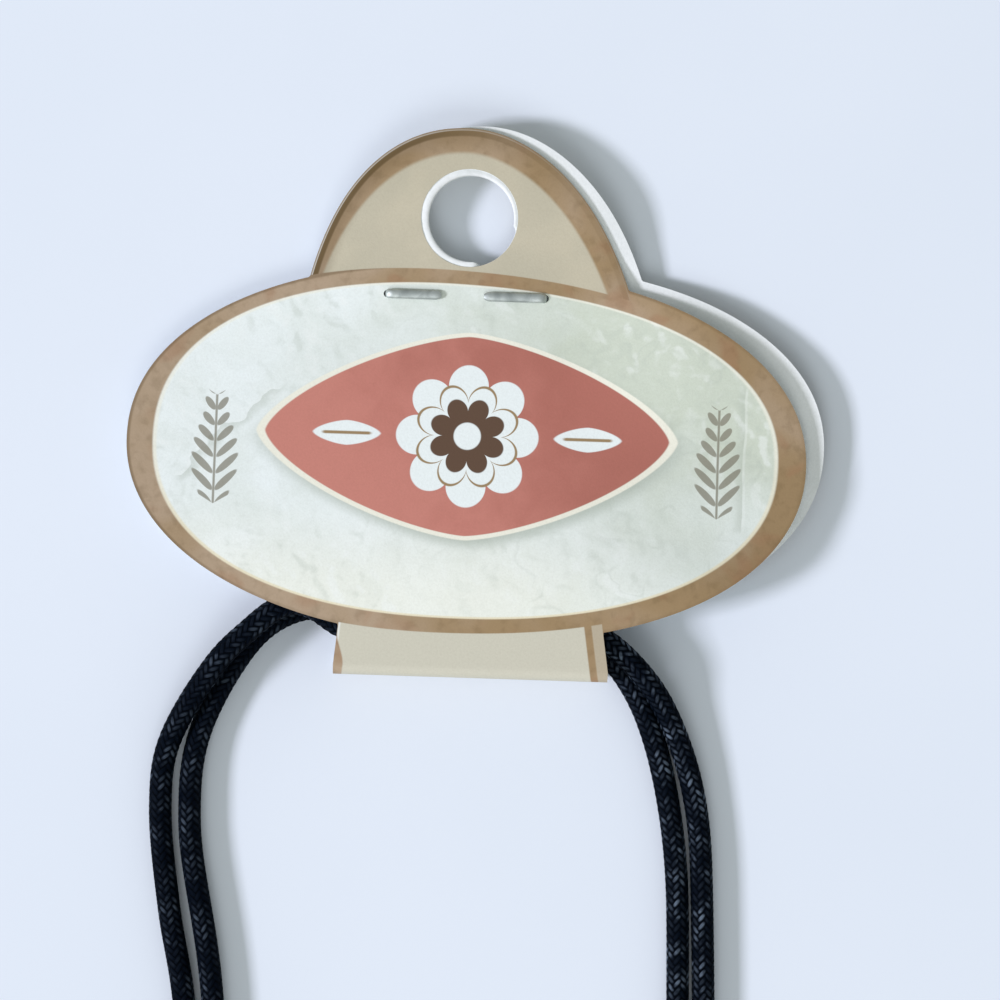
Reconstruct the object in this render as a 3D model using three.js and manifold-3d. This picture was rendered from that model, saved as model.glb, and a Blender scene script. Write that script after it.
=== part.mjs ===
// A black braided cord necklace with a plain cross pendant, on the folded board card that it is sold on.
// Millimetres, +Z up. The necklace and its card lie on a surface at z = 0, with the card's dome towards +Y.
// Card places are u to the right and v up the card, from the middle of its oval front panel.
import * as THREE from "three";
import { mergeVertices } from "three/addons/utils/BufferGeometryUtils.js";
import Module from "manifold-3d";

const wasm = await Module();
wasm.setup();

// Driving sizes of the folded card
const BOARD = 0.45;
const OVAL = { halfWidth: 26.25, halfHeight: 14.5, power: 2.11, lean: -0.025, steps: 72 };
const DOME = { u: -0.65, v: 4, halfHeight: 20.95, halfWidth: 12.94, power: 2.2, steps: 72 };
const DOME_RIGHT = { halfWidth: 14.28, power: 1.92 };
const HANG_HOLE = { u: -0.37, v: 18.07, radius: 3.75, steps: 28 };
const STRIP = { topV: -11, topLeft: -9.3, topRight: 10.5, footV: -17.4, footLeft: -9.8, footRight: 11.5 };
const FOLD_RADIUS = 0.8;
const FOLD_STEPS = 4;
const BACK_SHIFT = { u: 1.4, v: 0.25 };
const BACK_SKEW = 0.04;
const BACK_DOME_SHIFT = -0.35;
const BACK_HOLE_SHIFT = { u: 0.6, v: 0 };

// The under face of each panel in side view: how far up the card, and how high over the surface
const FRONT_LINE = [
  { v: 27, z: 1.8 },
  { v: 17, z: 1.36 },
  { v: 12.1, z: 1.2 },
  { v: 9, z: 1.36 },
  { v: 2, z: 2.45 },
  { v: -4, z: 3.45 },
  { v: -9, z: 4.2 },
  { v: -12.5, z: 4.35 },
  { v: -16, z: 4.35 },
];
const BACK_LINE = [
  { v: 27, z: 0.9 },
  { v: -16, z: 0.03 },
];

// The wire staple: standard crown, legs turned in over the front panel
const STAPLE = { u: -0.44, v: 12.07, crown: 12.7, wire: 0.5, legRise: 2.05, tipGap: 3.3, bend: 0.45 };
const STAPLE_HOLE_RADIUS = 0.45;

// The necklace: a round braided cord, its clasp and its pendant
const CORD = { diameter: 1.75, sides: 8, steps: 101 };
const CLASP = { u: 0.7, v: -93.9, length: 9.2, radius: 1.8, socketRadius: 1.2, socketDepth: 1.6 };
const CLASP_GROOVE = { halfWidth: 0.5, depth: 0.3 };
const CLASP_CHAMFER = 0.45;
const BAIL = { u: 0.7, v: -102.2, z: 2.2, length: 4, outerRadius: 2.2, boreRadius: 1.35 };
const CROSS = { height: 28, width: 20, arm: 5.2, barDrop: 9.4, thickness: 2.4, bevel: 0.45, intoBail: 0.6 };
const ROUND_STEPS = 20;

// The cord's way, from one end in the clasp to the other: left outer strand, fold, right outer strand, bail,
// left inner strand, fold, right inner strand
const CORD_ROUTE = [
  [-2.7, -93.9, 1.8],
  [-5.6, -93.5, 1.66],
  [-9.2, -90.3, 1.1],
  [-12.9, -83.4, 1.35],
  [-16.4, -71.4, 2.85],
  [-18.8, -59.4, 2.5],
  [-20.65, -42.8, 0.95],
  [-21.95, -36.2, 0.9],
  [-22.9, -28.2, 0.9],
  [-22.4, -23.4, 1.3],
  [-18.7, -16.75, 2.8],
  [-16.2, -14.15, 3.25],
  [-14.7, -12.85, 3.35],
  [-13.75, -12.3, 3.36],
  [-12.7, -12.1, 3.36],
  [-11.65, -12.3, 3.36],
  [-10.75, -12.8, 3.36],
  [-9.6, -13.55, 3.36],
  [-8.2, -14.15, 3.36],
  [-5.5, -14.5, 3.36],
  [-1.0, -14.3, 3.36],
  [3.0, -13.65, 3.3],
  [8.0, -12.9, 2.85],
  [11.15, -14.2, 3.0],
  [13.85, -16.5, 2.6],
  [16.06, -19.58, 1.5],
  [18.35, -25.6, 0.9],
  [19.35, -34.0, 0.9],
  [18.7, -79.0, 0.9],
  [12.2, -96.0, 1.1],
  [0.7, -102.2, 2.2],
  [-10.8, -96.0, 1.1],
  [-16.2, -81.4, 0.9],
  [-18.4, -42.8, 0.9],
  [-20.6, -29.2, 0.9],
  [-20.0, -22.4, 0.9],
  [-16.3, -15.3, 1.2],
  [-14.0, -13.3, 1.4],
  [-11.8, -12.5, 1.48],
  [-8.5, -12.45, 1.48],
  [-3.0, -13.0, 1.47],
  [2.5, -14.2, 1.45],
  [7.8, -14.6, 1.45],
  [11.3, -15.5, 1.4],
  [13.42, -17.94, 1.05],
  [15.25, -21.94, 0.9],
  [16.9, -29.0, 0.9],
  [17.6, -38.0, 0.9],
  [17.0, -70.0, 0.9],
  [11.3, -89.0, 1.0],
  [7.0, -93.5, 1.66],
  [4.1, -93.9, 1.8],
];

// The oval's middle in the part's frame, whose origin is under the middle of the card and pendant together
const CARD_TOP = DOME.v + DOME.halfHeight + BACK_SHIFT.v;
const CROSS_TOP = BAIL.v - BAIL.outerRadius + CROSS.intoBail;
const CARD_IN_FRAME = new THREE.Vector3(-BACK_SHIFT.u / 2, -(CARD_TOP + CROSS_TOP - CROSS.height) / 2, 0);

const CUT_BELOW = -3;
const CUT_ABOVE = 9;
const SHEET_HALF_WIDTH = 32;

// A closed geometry as a solid that can be joined and cut
function solidOf(geometry) {
  geometry.deleteAttribute("normal");
  geometry.deleteAttribute("uv");
  const merged = mergeVertices(geometry, 1e-4);
  const vertProperties = new Float32Array(merged.attributes.position.array);
  const triVerts = new Uint32Array(merged.index.array);
  return new wasm.Manifold(new wasm.Mesh({ numProp: 3, vertProperties, triVerts }));
}

// A joined or cut solid as a geometry again
function geometryOf(solid) {
  const { vertProperties, triVerts } = solid.getMesh();
  const geometry = new THREE.BufferGeometry();
  geometry.setAttribute("position", new THREE.BufferAttribute(vertProperties, 3));
  geometry.setIndex(new THREE.BufferAttribute(triVerts, 1));
  geometry.computeVertexNormals();
  return geometry;
}

function namedMesh(name, geometry, color, roughness, metalness) {
  const mesh = new THREE.Mesh(geometry, new THREE.MeshStandardMaterial({ color, roughness, metalness }));
  mesh.name = name;
  return mesh;
}

// Points round an oval: power 2 is an ellipse, and more is fuller at the corners. Its right side may differ
function ovalPoints({ u = 0, v = 0, halfWidth, halfHeight, power, lean = 0, steps }, right = { halfWidth, power }) {
  const along = (x, sidePower) => Math.sign(x) * Math.abs(x) ** (2 / sidePower);
  const middle = new THREE.Vector2(u, v);
  return Array.from({ length: steps }, (_, i) => {
    const turn = (2 * Math.PI * i) / steps;
    const side = Math.cos(turn) > 0 ? right : { halfWidth, power };
    const across = side.halfWidth * along(Math.cos(turn), side.power);
    const up = halfHeight * along(Math.sin(turn), side.power);
    return new THREE.Vector2(u + across, v + up).rotateAround(middle, lean);
  });
}

// An upright block with this outline, tall enough to cut any sheet of the card
function cutter(points) {
  const depth = CUT_ABOVE - CUT_BELOW;
  const geometry = new THREE.ExtrudeGeometry(new THREE.Shape(points), { depth, bevelEnabled: false });
  return solidOf(geometry.translate(0, 0, CUT_BELOW));
}

function roundCutter(u, v, radius, steps) {
  return cutter(ovalPoints({ u, v, halfWidth: radius, halfHeight: radius, power: 2, steps }));
}

// A sheet as wide as the card with this side view, given as points of (v, z)
function sheet(sideView) {
  const depth = 2 * SHEET_HALF_WIDTH;
  const geometry = new THREE.ExtrudeGeometry(new THREE.Shape(sideView), { depth, bevelEnabled: false });
  const across = new THREE.Vector3(1, 0, 0);
  const upTheCard = new THREE.Vector3(0, 1, 0);
  const upwards = new THREE.Vector3(0, 0, 1);
  geometry.translate(0, 0, -SHEET_HALF_WIDTH);
  return solidOf(geometry.applyMatrix4(new THREE.Matrix4().makeBasis(upTheCard, upwards, across)));
}

function panelSheet(line) {
  const under = line.map(({ v, z }) => new THREE.Vector2(v, z));
  const over = line.map(({ v, z }) => new THREE.Vector2(v, z + BOARD)).reverse();
  return sheet([...under, ...over]);
}

// The C of the fold: over the cords, down behind them and back under, with rounded outer and inner corners
function foldSheet() {
  const joinV = -14.5;
  const front = FRONT_LINE.at(-1).z + BOARD;
  const wall = (inset, radius) => {
    const left = STRIP.footV + inset;
    const corner = (top, from) =>
      Array.from({ length: FOLD_STEPS + 1 }, (_, i) => {
        const turn = from + (Math.PI / 2) * (i / FOLD_STEPS);
        const z = top ? front - inset - radius : inset + radius;
        return new THREE.Vector2(left + radius + radius * Math.cos(turn), z + radius * Math.sin(turn));
      });
    return [
      new THREE.Vector2(joinV, front - inset),
      ...corner(true, Math.PI / 2),
      ...corner(false, Math.PI),
      new THREE.Vector2(joinV, inset),
    ];
  };
  const outer = wall(0, FOLD_RADIUS);
  const inner = wall(BOARD, FOLD_RADIUS - BOARD);
  return sheet([...outer, ...inner.reverse()]);
}

// One folded board: front panel, fold strip and back panel, with the hang hole and the staple's holes through
function hangCard() {
  const { topV, topLeft, topRight, footV, footLeft, footRight } = STRIP;
  const belowFold = footV - 1;
  const stripCutter = cutter([
    new THREE.Vector2(footLeft, belowFold),
    new THREE.Vector2(footRight, belowFold),
    new THREE.Vector2(footRight, footV),
    new THREE.Vector2(topRight, topV),
    new THREE.Vector2(topLeft, topV),
    new THREE.Vector2(footLeft, footV),
  ]);
  const domeAt = (shift) =>
    cutter(ovalPoints({ ...DOME, u: DOME.u + shift }, DOME_RIGHT).filter((point) => point.y > DOME.v - BOARD));
  const panelAt = (domeShift) => cutter(ovalPoints(OVAL)).add(domeAt(domeShift));
  const askew = new THREE.Matrix4().makeShear(BACK_SKEW, 0, 0, 0, 0, 0).setPosition(BACK_SHIFT.u, BACK_SHIFT.v, 0);
  const backCutter = panelAt(BACK_DOME_SHIFT).transform(askew.elements);
  const holeAt = (shift) =>
    roundCutter(HANG_HOLE.u + shift.u, HANG_HOLE.v + shift.v, HANG_HOLE.radius, HANG_HOLE.steps);
  const front = panelSheet(FRONT_LINE).intersect(panelAt(0).add(stripCutter));
  const back = panelSheet(BACK_LINE).intersect(backCutter.add(stripCutter));
  let card = front.subtract(holeAt({ u: 0, v: 0 })).add(back.subtract(holeAt(BACK_HOLE_SHIFT)));
  card = card.add(foldSheet().intersect(stripCutter));
  for (const side of [-1, 1]) {
    const legU = STAPLE.u + (side * (STAPLE.crown - STAPLE.wire)) / 2;
    card = card.subtract(roundCutter(legU, STAPLE.v, STAPLE_HOLE_RADIUS, 8));
  }
  return namedMesh("hang_card", geometryOf(card), 0xc8bda2, 0.7, 0);
}

// A straight-sided path through points, with its corners rounded
function roundedPath(points, radius) {
  const path = new THREE.CurvePath();
  let start = points[0];
  for (let i = 1; i < points.length - 1; i += 1) {
    const corner = points[i];
    const into = corner.clone().sub(points[i - 1]).setLength(radius);
    const out = points[i + 1].clone().sub(corner).setLength(radius);
    const bendStart = corner.clone().sub(into);
    const bendEnd = corner.clone().add(out);
    path.add(new THREE.LineCurve3(start, bendStart));
    path.add(new THREE.QuadraticBezierCurve3(bendStart, corner, bendEnd));
    start = bendEnd;
  }
  path.add(new THREE.LineCurve3(start, points.at(-1)));
  return path;
}

// A round bar of this radius along a path
function roundBar(path, radius, sides, steps) {
  const section = new THREE.Shape(
    ovalPoints({ halfWidth: radius, halfHeight: radius, power: 2, steps: sides }),
  );
  return new THREE.ExtrudeGeometry(section, { steps, extrudePath: path, bevelEnabled: false });
}

// The crown lies under the back panel, and the legs come up through both and turn in over the front
function staple() {
  const half = (STAPLE.crown - STAPLE.wire) / 2;
  const crownZ = STAPLE.wire / 2;
  const tip = STAPLE.tipGap / 2;
  const path = roundedPath(
    [
      new THREE.Vector3(-tip, 0, STAPLE.legRise),
      new THREE.Vector3(-half, 0, STAPLE.legRise),
      new THREE.Vector3(-half, 0, crownZ),
      new THREE.Vector3(half, 0, crownZ),
      new THREE.Vector3(half, 0, STAPLE.legRise),
      new THREE.Vector3(tip, 0, STAPLE.legRise),
    ],
    STAPLE.bend,
  );
  const mesh = namedMesh("staple", roundBar(path, STAPLE.wire / 2, 6, 72), 0xa8aeae, 0.35, 1);
  mesh.position.set(STAPLE.u, STAPLE.v, 0);
  return mesh;
}

function necklaceCord() {
  const points = CORD_ROUTE.map(([u, v, z]) => new THREE.Vector3(u, v, z));
  const path = new THREE.CatmullRomCurve3(points, false, "centripetal");
  const bar = roundBar(path, CORD.diameter / 2, CORD.sides, CORD.steps);
  return namedMesh("necklace_cord", bar, 0x14171c, 0.5, 0);
}

// A turned barrel with a socket in each end for the cord and a shallow groove round its middle
function cordClasp() {
  const { length, radius, socketRadius, socketDepth } = CLASP;
  const half = length / 2;
  const right = [
    [radius - CLASP_GROOVE.depth, CLASP_GROOVE.halfWidth],
    [radius, CLASP_GROOVE.halfWidth + CLASP_GROOVE.depth],
    [radius, half - CLASP_CHAMFER],
    [radius - CLASP_CHAMFER, half],
    [socketRadius, half],
    [socketRadius, half - socketDepth],
    [0, half - socketDepth],
  ];
  const left = right.map(([r, x]) => [r, -x]).reverse();
  const profile = [...left, ...right].map(([r, x]) => new THREE.Vector2(r, x));
  const mesh = namedMesh("cord_clasp", new THREE.LatheGeometry(profile, ROUND_STEPS), 0x8d8f92, 0.35, 1);
  mesh.rotation.z = -Math.PI / 2;
  mesh.position.set(CLASP.u, CLASP.v, radius);
  return mesh;
}

// A plain Latin cross with chamfered edges, and a short barrel across its top that the cord runs through
function crossPendant() {
  const { height, width, arm, barDrop, thickness, bevel } = CROSS;
  const side = arm / 2;
  const barTop = -barDrop + side;
  const barFoot = -barDrop - side;
  const rightHalf = [
    [side, 0],
    [side, barTop],
    [width / 2, barTop],
    [width / 2, barFoot],
    [side, barFoot],
    [side, -height],
  ];
  const leftHalf = rightHalf.map(([x, y]) => [-x, y]).reverse();
  const outline = [...rightHalf, ...leftHalf].reverse().map(([x, y]) => new THREE.Vector2(x, y));
  const crossGeometry = new THREE.ExtrudeGeometry(new THREE.Shape(outline), {
    depth: thickness - 2 * bevel,
    bevelThickness: bevel,
    bevelSize: bevel,
    bevelOffset: -bevel,
    bevelSegments: 2,
  });
  crossGeometry.translate(0, CROSS_TOP - BAIL.v, bevel);
  const { length, outerRadius, boreRadius, z } = BAIL;
  const ring = [
    [boreRadius, -length / 2],
    [outerRadius, -length / 2],
    [outerRadius, length / 2],
    [boreRadius, length / 2],
    [boreRadius, -length / 2],
  ].map(([r, x]) => new THREE.Vector2(r, x));
  const barrel = new THREE.LatheGeometry(ring, ROUND_STEPS);
  barrel.rotateZ(-Math.PI / 2);
  barrel.translate(0, 0, z);
  const joined = solidOf(crossGeometry).add(solidOf(barrel));
  const mesh = namedMesh("cross_pendant", geometryOf(joined), 0x9b9c9a, 0.38, 1);
  mesh.position.set(BAIL.u, BAIL.v, 0);
  return mesh;
}

const necklaceOnCard = new THREE.Group();
const laidOut = new THREE.Group();
laidOut.position.copy(CARD_IN_FRAME);
laidOut.add(hangCard(), staple(), necklaceCord(), cordClasp(), crossPendant());
necklaceOnCard.add(laidOut);

export default necklaceOnCard;
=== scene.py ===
"""Dresses the black cord necklace and the folded hang card that it lies in.

Sizes in the classes are millimetres. Places on the card are u to the right and v up from the middle of its
oval front panel, and CardPlace turns them into metres in the part's own frame.
"""

import logging
import math
from dataclasses import dataclass, replace
from enum import Enum
from typing import Any, Sequence, Union

import bmesh
import bpy
import numpy as np
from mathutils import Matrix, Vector


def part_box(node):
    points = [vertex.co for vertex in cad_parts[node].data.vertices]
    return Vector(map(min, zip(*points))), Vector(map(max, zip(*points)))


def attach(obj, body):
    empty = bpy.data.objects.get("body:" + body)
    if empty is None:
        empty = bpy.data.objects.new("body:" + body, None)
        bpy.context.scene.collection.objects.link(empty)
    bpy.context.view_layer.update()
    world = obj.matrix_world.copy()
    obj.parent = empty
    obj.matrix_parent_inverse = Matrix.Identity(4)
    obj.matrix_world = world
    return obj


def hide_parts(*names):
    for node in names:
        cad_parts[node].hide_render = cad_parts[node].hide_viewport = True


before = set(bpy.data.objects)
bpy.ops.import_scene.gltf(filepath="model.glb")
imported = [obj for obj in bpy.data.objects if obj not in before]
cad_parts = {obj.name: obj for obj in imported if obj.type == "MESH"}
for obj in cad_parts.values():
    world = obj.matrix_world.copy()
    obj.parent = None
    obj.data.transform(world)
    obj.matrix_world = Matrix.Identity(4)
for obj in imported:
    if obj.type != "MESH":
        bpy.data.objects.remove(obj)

LOG = logging.getLogger("necklace")
MM = 0.001
BODY = "root"
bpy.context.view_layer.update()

Colour = tuple[float, float, float, float]
Number = Union["Signal", float]
Span = tuple[float, float]


def shade(red: int, green: int, blue: int) -> Colour:
    """Turns a colour as a screen shows it into the linear colour that shaders use.

    Args:
        red, green, blue: the channels, 0 to 255.

    Returns:
        The linear colour with full alpha.
    """
    shown = [channel / 255 for channel in (red, green, blue)]
    linear = [c / 12.92 if c <= 0.04045 else ((c + 0.055) / 1.055) ** 2.4 for c in shown]
    return (*linear, 1.0)


def ease(value: np.ndarray, start: float, end: float) -> np.ndarray:
    """Goes smoothly from 0 where the value is start to 1 where it is end."""
    share = np.clip((value - start) / (end - start), 0, 1)
    return share * share * (3 - 2 * share)


class Signal:
    """A value that changes over a surface, held as a node's output, with plain arithmetic."""

    def __init__(self, sketch: "Sketch", socket: bpy.types.NodeSocket) -> None:
        """Keeps the output socket and the sketch that adds the next nodes."""
        self.sketch = sketch
        self.socket = socket

    def __add__(self, other: Number) -> "Signal":
        """Adds a signal or a number."""
        return self.sketch.math("ADD", self, other)

    def __sub__(self, other: Number) -> "Signal":
        """Takes away a signal or a number."""
        return self.sketch.math("SUBTRACT", self, other)

    def __rsub__(self, other: float) -> "Signal":
        """Takes this signal from a number."""
        return self.sketch.math("SUBTRACT", other, self)

    def __mul__(self, other: Number) -> "Signal":
        """Multiplies by a signal or a number."""
        return self.sketch.math("MULTIPLY", self, other)

    def __truediv__(self, other: Number) -> "Signal":
        """Divides by a signal or a number."""
        return self.sketch.math("DIVIDE", self, other)

    def __rtruediv__(self, other: float) -> "Signal":
        """Divides a number by this signal."""
        return self.sketch.math("DIVIDE", other, self)

    def __pow__(self, power: Number) -> "Signal":
        """Raises to a power."""
        return self.sketch.math("POWER", self, power)

    def __abs__(self) -> "Signal":
        """Drops the sign."""
        return self.sketch.math("ABSOLUTE", self)


class Sketch:
    """Adds nodes to a shader or geometry tree and joins them."""

    def __init__(self, tree: bpy.types.NodeTree) -> None:
        """Keeps the tree that the nodes go into."""
        self.tree = tree

    def feed(self, target: bpy.types.NodeSocket, value: Any) -> None:
        """Links a signal to an input, or sets the input's own value.

        Args:
            target: the input socket.
            value: a Signal, a number, a colour or a data block.
        """
        if isinstance(value, Signal):
            self.tree.links.new(value.socket, target)
        else:
            target.default_value = value

    def node(self, kind: str, settings: dict[str, Any] | None = None, **inputs: Any) -> bpy.types.Node:
        """Adds one node.

        Args:
            kind: the node's type name.
            settings: the node's own properties.
            inputs: values for its inputs, with an underscore for each space in the input's name.

        Returns:
            The new node.
        """
        made = self.tree.nodes.new(kind)
        for name, value in (settings or {}).items():
            setattr(made, name, value)
        for name, value in inputs.items():
            self.feed(made.inputs[name.replace("_", " ")], value)
        return made

    def out(self, node: bpy.types.Node, key: int | str = 0) -> Signal:
        """Gives one of a node's outputs as a signal."""
        return Signal(self, node.outputs[key])

    def math(self, operation: str, *values: Number) -> Signal:
        """Adds one Math node.

        Args:
            operation: what it does.
            values: the signals and numbers that it works on.

        Returns:
            Its result.
        """
        made = self.node("ShaderNodeMath", {"operation": operation})
        for target, value in zip(made.inputs, values):
            self.feed(target, value)
        return self.out(made)

    def ramp(self, value: Signal, start: float, end: float) -> Signal:
        """Goes smoothly from 0 to 1.

        Args:
            value: what it reads.
            start, end: where it leaves 0 and where it comes to 1. The end may be the lower one.

        Returns:
            The share, 0 to 1.
        """
        made = self.node("ShaderNodeMapRange", {"interpolation_type": "SMOOTHSTEP"})
        low, high, first, last = (start, end, 0.0, 1.0) if start < end else (end, start, 1.0, 0.0)
        for target, setting in zip(made.inputs, (value, low, high, first, last)):
            self.feed(target, setting)
        return self.out(made)

    def inside(self, value: Signal, limit: float, soft: float) -> Signal:
        """Gives 1 where the value is under its limit and 0 past it, with a soft edge."""
        return self.ramp(value, limit + soft, limit - soft)

    def mix(self, share: Number, first: Any, second: Any) -> Signal:
        """Mixes two colours.

        Args:
            share: how much of the second colour there is, 0 to 1.
            first, second: the colours, plain or as signals.

        Returns:
            The mixed colour.
        """
        made = self.node("ShaderNodeMix", {"data_type": "RGBA"})
        for index, value in ((0, share), (6, first), (7, second)):
            self.feed(made.inputs[index], value)
        return self.out(made, 2)

    def noise(self, place: Signal, per_unit: Number, detail: float = 2.0, warp: float = 0.0) -> Signal:
        """Adds a Noise texture.

        Args:
            place: the coordinates that it reads.
            per_unit: how many of its cells go into one unit of those coordinates.
            detail: how many finer layers it has.
            warp: how far it is distorted.

        Returns:
            The noise, about 0 to 1.
        """
        made = self.node("ShaderNodeTexNoise", Vector=place, Scale=per_unit, Detail=detail, Distortion=warp)
        return self.out(made)

    def parts(self, vector: Signal) -> list[Signal]:
        """Splits a vector into its three numbers."""
        made = self.node("ShaderNodeSeparateXYZ", Vector=vector)
        return [Signal(self, socket) for socket in made.outputs]

    def object_place(self) -> Signal:
        """Gives the coordinates of the piece's own mesh, in metres."""
        return self.out(self.node("ShaderNodeTexCoord"), "Object")

    def attribute(self, name: str) -> Signal:
        """Reads one of the piece's vector attributes."""
        return self.out(self.node("ShaderNodeAttribute", {"attribute_name": name}), "Vector")

    def group(self, tree: bpy.types.NodeTree, **inputs: Any) -> dict[str, Signal]:
        """Places a shader node group with its own values, and gives its outputs by name."""
        made = self.node("ShaderNodeGroup", {"node_tree": tree}, **inputs)
        return {socket.name: Signal(self, socket) for socket in made.outputs}


class TreeKind(Enum):
    """The kinds of node tree."""

    SHADER = "ShaderNodeTree"
    GEOMETRY = "GeometryNodeTree"


class GroupSocket(Enum):
    """The kinds of socket that the node groups have."""

    NUMBER = "NodeSocketFloat"
    COUNT = "NodeSocketInt"
    GEOMETRY = "NodeSocketGeometry"
    MATERIAL = "NodeSocketMaterial"


def new_group(
    name: str, kind: TreeKind, inputs: dict[str, GroupSocket], outputs: dict[str, GroupSocket]
) -> tuple[Sketch, dict[str, Signal], bpy.types.Node]:
    """Starts a node group with named sockets.

    Args:
        name: the group's name.
        kind: the kind of its tree.
        inputs, outputs: socket names and kinds, in order.

    Returns:
        A sketch of the group, its inputs by name and its output node.
    """
    tree = bpy.data.node_groups.new(name, kind.value)
    for in_out, sockets in (("INPUT", inputs), ("OUTPUT", outputs)):
        for socket_name, socket in sockets.items():
            tree.interface.new_socket(name=socket_name, in_out=in_out, socket_type=socket.value)
    sketch = Sketch(tree)
    given = sketch.node("NodeGroupInput")
    return sketch, {asked: sketch.out(given, asked) for asked in inputs}, sketch.node("NodeGroupOutput")


def grain_group(name: str, *outputs: str) -> tuple[Sketch, Signal, bpy.types.Node]:
    """Starts a shader group whose marks grow with its input Grain, in millimetres.

    Args:
        name: the group's name.
        outputs: the names of its outputs, which are numbers.

    Returns:
        A sketch of the group, how many grains go into a metre, and its output node.
    """
    number = GroupSocket.NUMBER
    sketch, given, put = new_group(name, TreeKind.SHADER, {"Grain": number}, dict.fromkeys(outputs, number))
    return sketch, 1.0 / MM / given["Grain"], put


def board_fibre_group() -> bpy.types.NodeTree:
    """Builds the grain that printed and bare board share: pressed fibres and soft clouds.

    Returns:
        A group with the outputs Cloud, Fibre and Height.
    """
    sketch, grains, put = grain_group("Board fibre", "Cloud", "Fibre", "Height")
    place = sketch.object_place()
    fibre = sketch.noise(place, grains, 3.0, 0.6)
    cloud = sketch.noise(place, grains * 0.04, 3.0, 0.3)
    pits = sketch.noise(place, grains * 2.5, 1.0)
    sketch.feed(put.inputs["Cloud"], sketch.ramp(cloud, 0.3, 0.7))
    sketch.feed(put.inputs["Fibre"], sketch.ramp(fibre, 0.3, 0.75))
    sketch.feed(put.inputs["Height"], fibre * 0.7 + pits * 0.3)
    return sketch.tree


def handled_metal_group() -> bpy.types.NodeTree:
    """Builds the marks that cast, turned and drawn metal share: smudges, fine scratches and cast pits.

    Returns:
        A group with the outputs Smudge, Scratch and Height.
    """
    sketch, grains, put = grain_group("Handled metal", "Smudge", "Scratch", "Height")
    place = sketch.object_place()
    smudge = sketch.noise(place, grains * 0.35, 4.0, 0.8)
    drawn_out = sketch.out(sketch.node("ShaderNodeMapping", Vector=place, Scale=(0.08, 1.0, 1.0)))
    scratch = sketch.noise(drawn_out, grains * 4.0, 2.0)
    pits = sketch.noise(place, grains * 1.5, 3.0)
    sketch.feed(put.inputs["Smudge"], sketch.ramp(smudge, 0.35, 0.7))
    sketch.feed(put.inputs["Scratch"], sketch.ramp(scratch, 0.4, 0.7))
    sketch.feed(put.inputs["Height"], pits * 0.7 + scratch * 0.3)
    return sketch.tree


@dataclass(frozen=True)
class SharedGroups:
    """The shader node groups that more than one material uses."""

    board_fibre: bpy.types.NodeTree
    handled_metal: bpy.types.NodeTree


@dataclass(frozen=True)
class TwillBraid:
    """The rule of a round braid whose yarns pass over two and under two, for any kind of node tree."""

    cells: float = 4.0
    roundness: float = 0.6
    left_offset: float = 0.37
    yarn_step: float = 0.71
    float_step: float = 5.3

    def relief(self, sketch: Sketch, around: Signal, along: Signal) -> tuple[Signal, Signal, Signal]:
        """Works out the braid's surface.

        Args:
            sketch: the tree's sketch.
            around: the way round the cord, in yarns of one hand.
            along: the way along the cord, in pitches.

        Returns:
            The height, 0 in the grooves and 1 on the crowns, the place across the upper yarn, 0 to 1, and a
            number that differs from one float of yarn to the next.
        """
        half = self.cells / 2
        right, left = around + along, around - along
        right_yarn, left_yarn = sketch.math("FLOOR", right), sketch.math("FLOOR", left)
        cell = sketch.math("FLOORED_MODULO", right_yarn + left_yarn, self.cells)
        over = sketch.math("LESS_THAN", cell, half - 0.5)
        under = 1.0 - over
        side = over * (right - right_yarn) + under * (left - left_yarn)
        float_way = over * sketch.math("FLOORED_MODULO", right_yarn + left, self.cells)
        float_way = float_way + under * (sketch.math("FLOORED_MODULO", right + left_yarn, self.cells) - half)
        arch = sketch.math("SINE", float_way * (math.pi / 2)) * 0.5 + 0.5
        stretch = over * sketch.math("FLOOR", (right_yarn + left) * (1 / self.cells))
        stretch = stretch + under * sketch.math("FLOOR", (right + left_yarn - half) * (1 / self.cells))
        yarn = over * right_yarn + under * (left_yarn + self.left_offset)
        which = yarn * self.yarn_step + stretch * self.float_step
        return sketch.math("SINE", side * math.pi) ** self.roundness * arch, side, which


def new_material(name: str) -> tuple[bpy.types.Material, Sketch, bpy.types.Node]:
    """Starts a material.

    Args:
        name: the material's name.

    Returns:
        The material, a sketch of its tree and its Principled BSDF.
    """
    material = bpy.data.materials.new(name)
    material.use_nodes = True
    return material, Sketch(material.node_tree), material.node_tree.nodes["Principled BSDF"]


def set_bump(sketch: Sketch, shader: bpy.types.Node, height: Signal, depth: float) -> None:
    """Puts a height of 0 to 1 onto a shader's normal, with the depth in millimetres that 1 stands for."""
    bump = sketch.node("ShaderNodeBump", Strength=1.0, Distance=depth * MM, Height=height)
    sketch.feed(shader.inputs["Normal"], sketch.out(bump, "Normal"))


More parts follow.
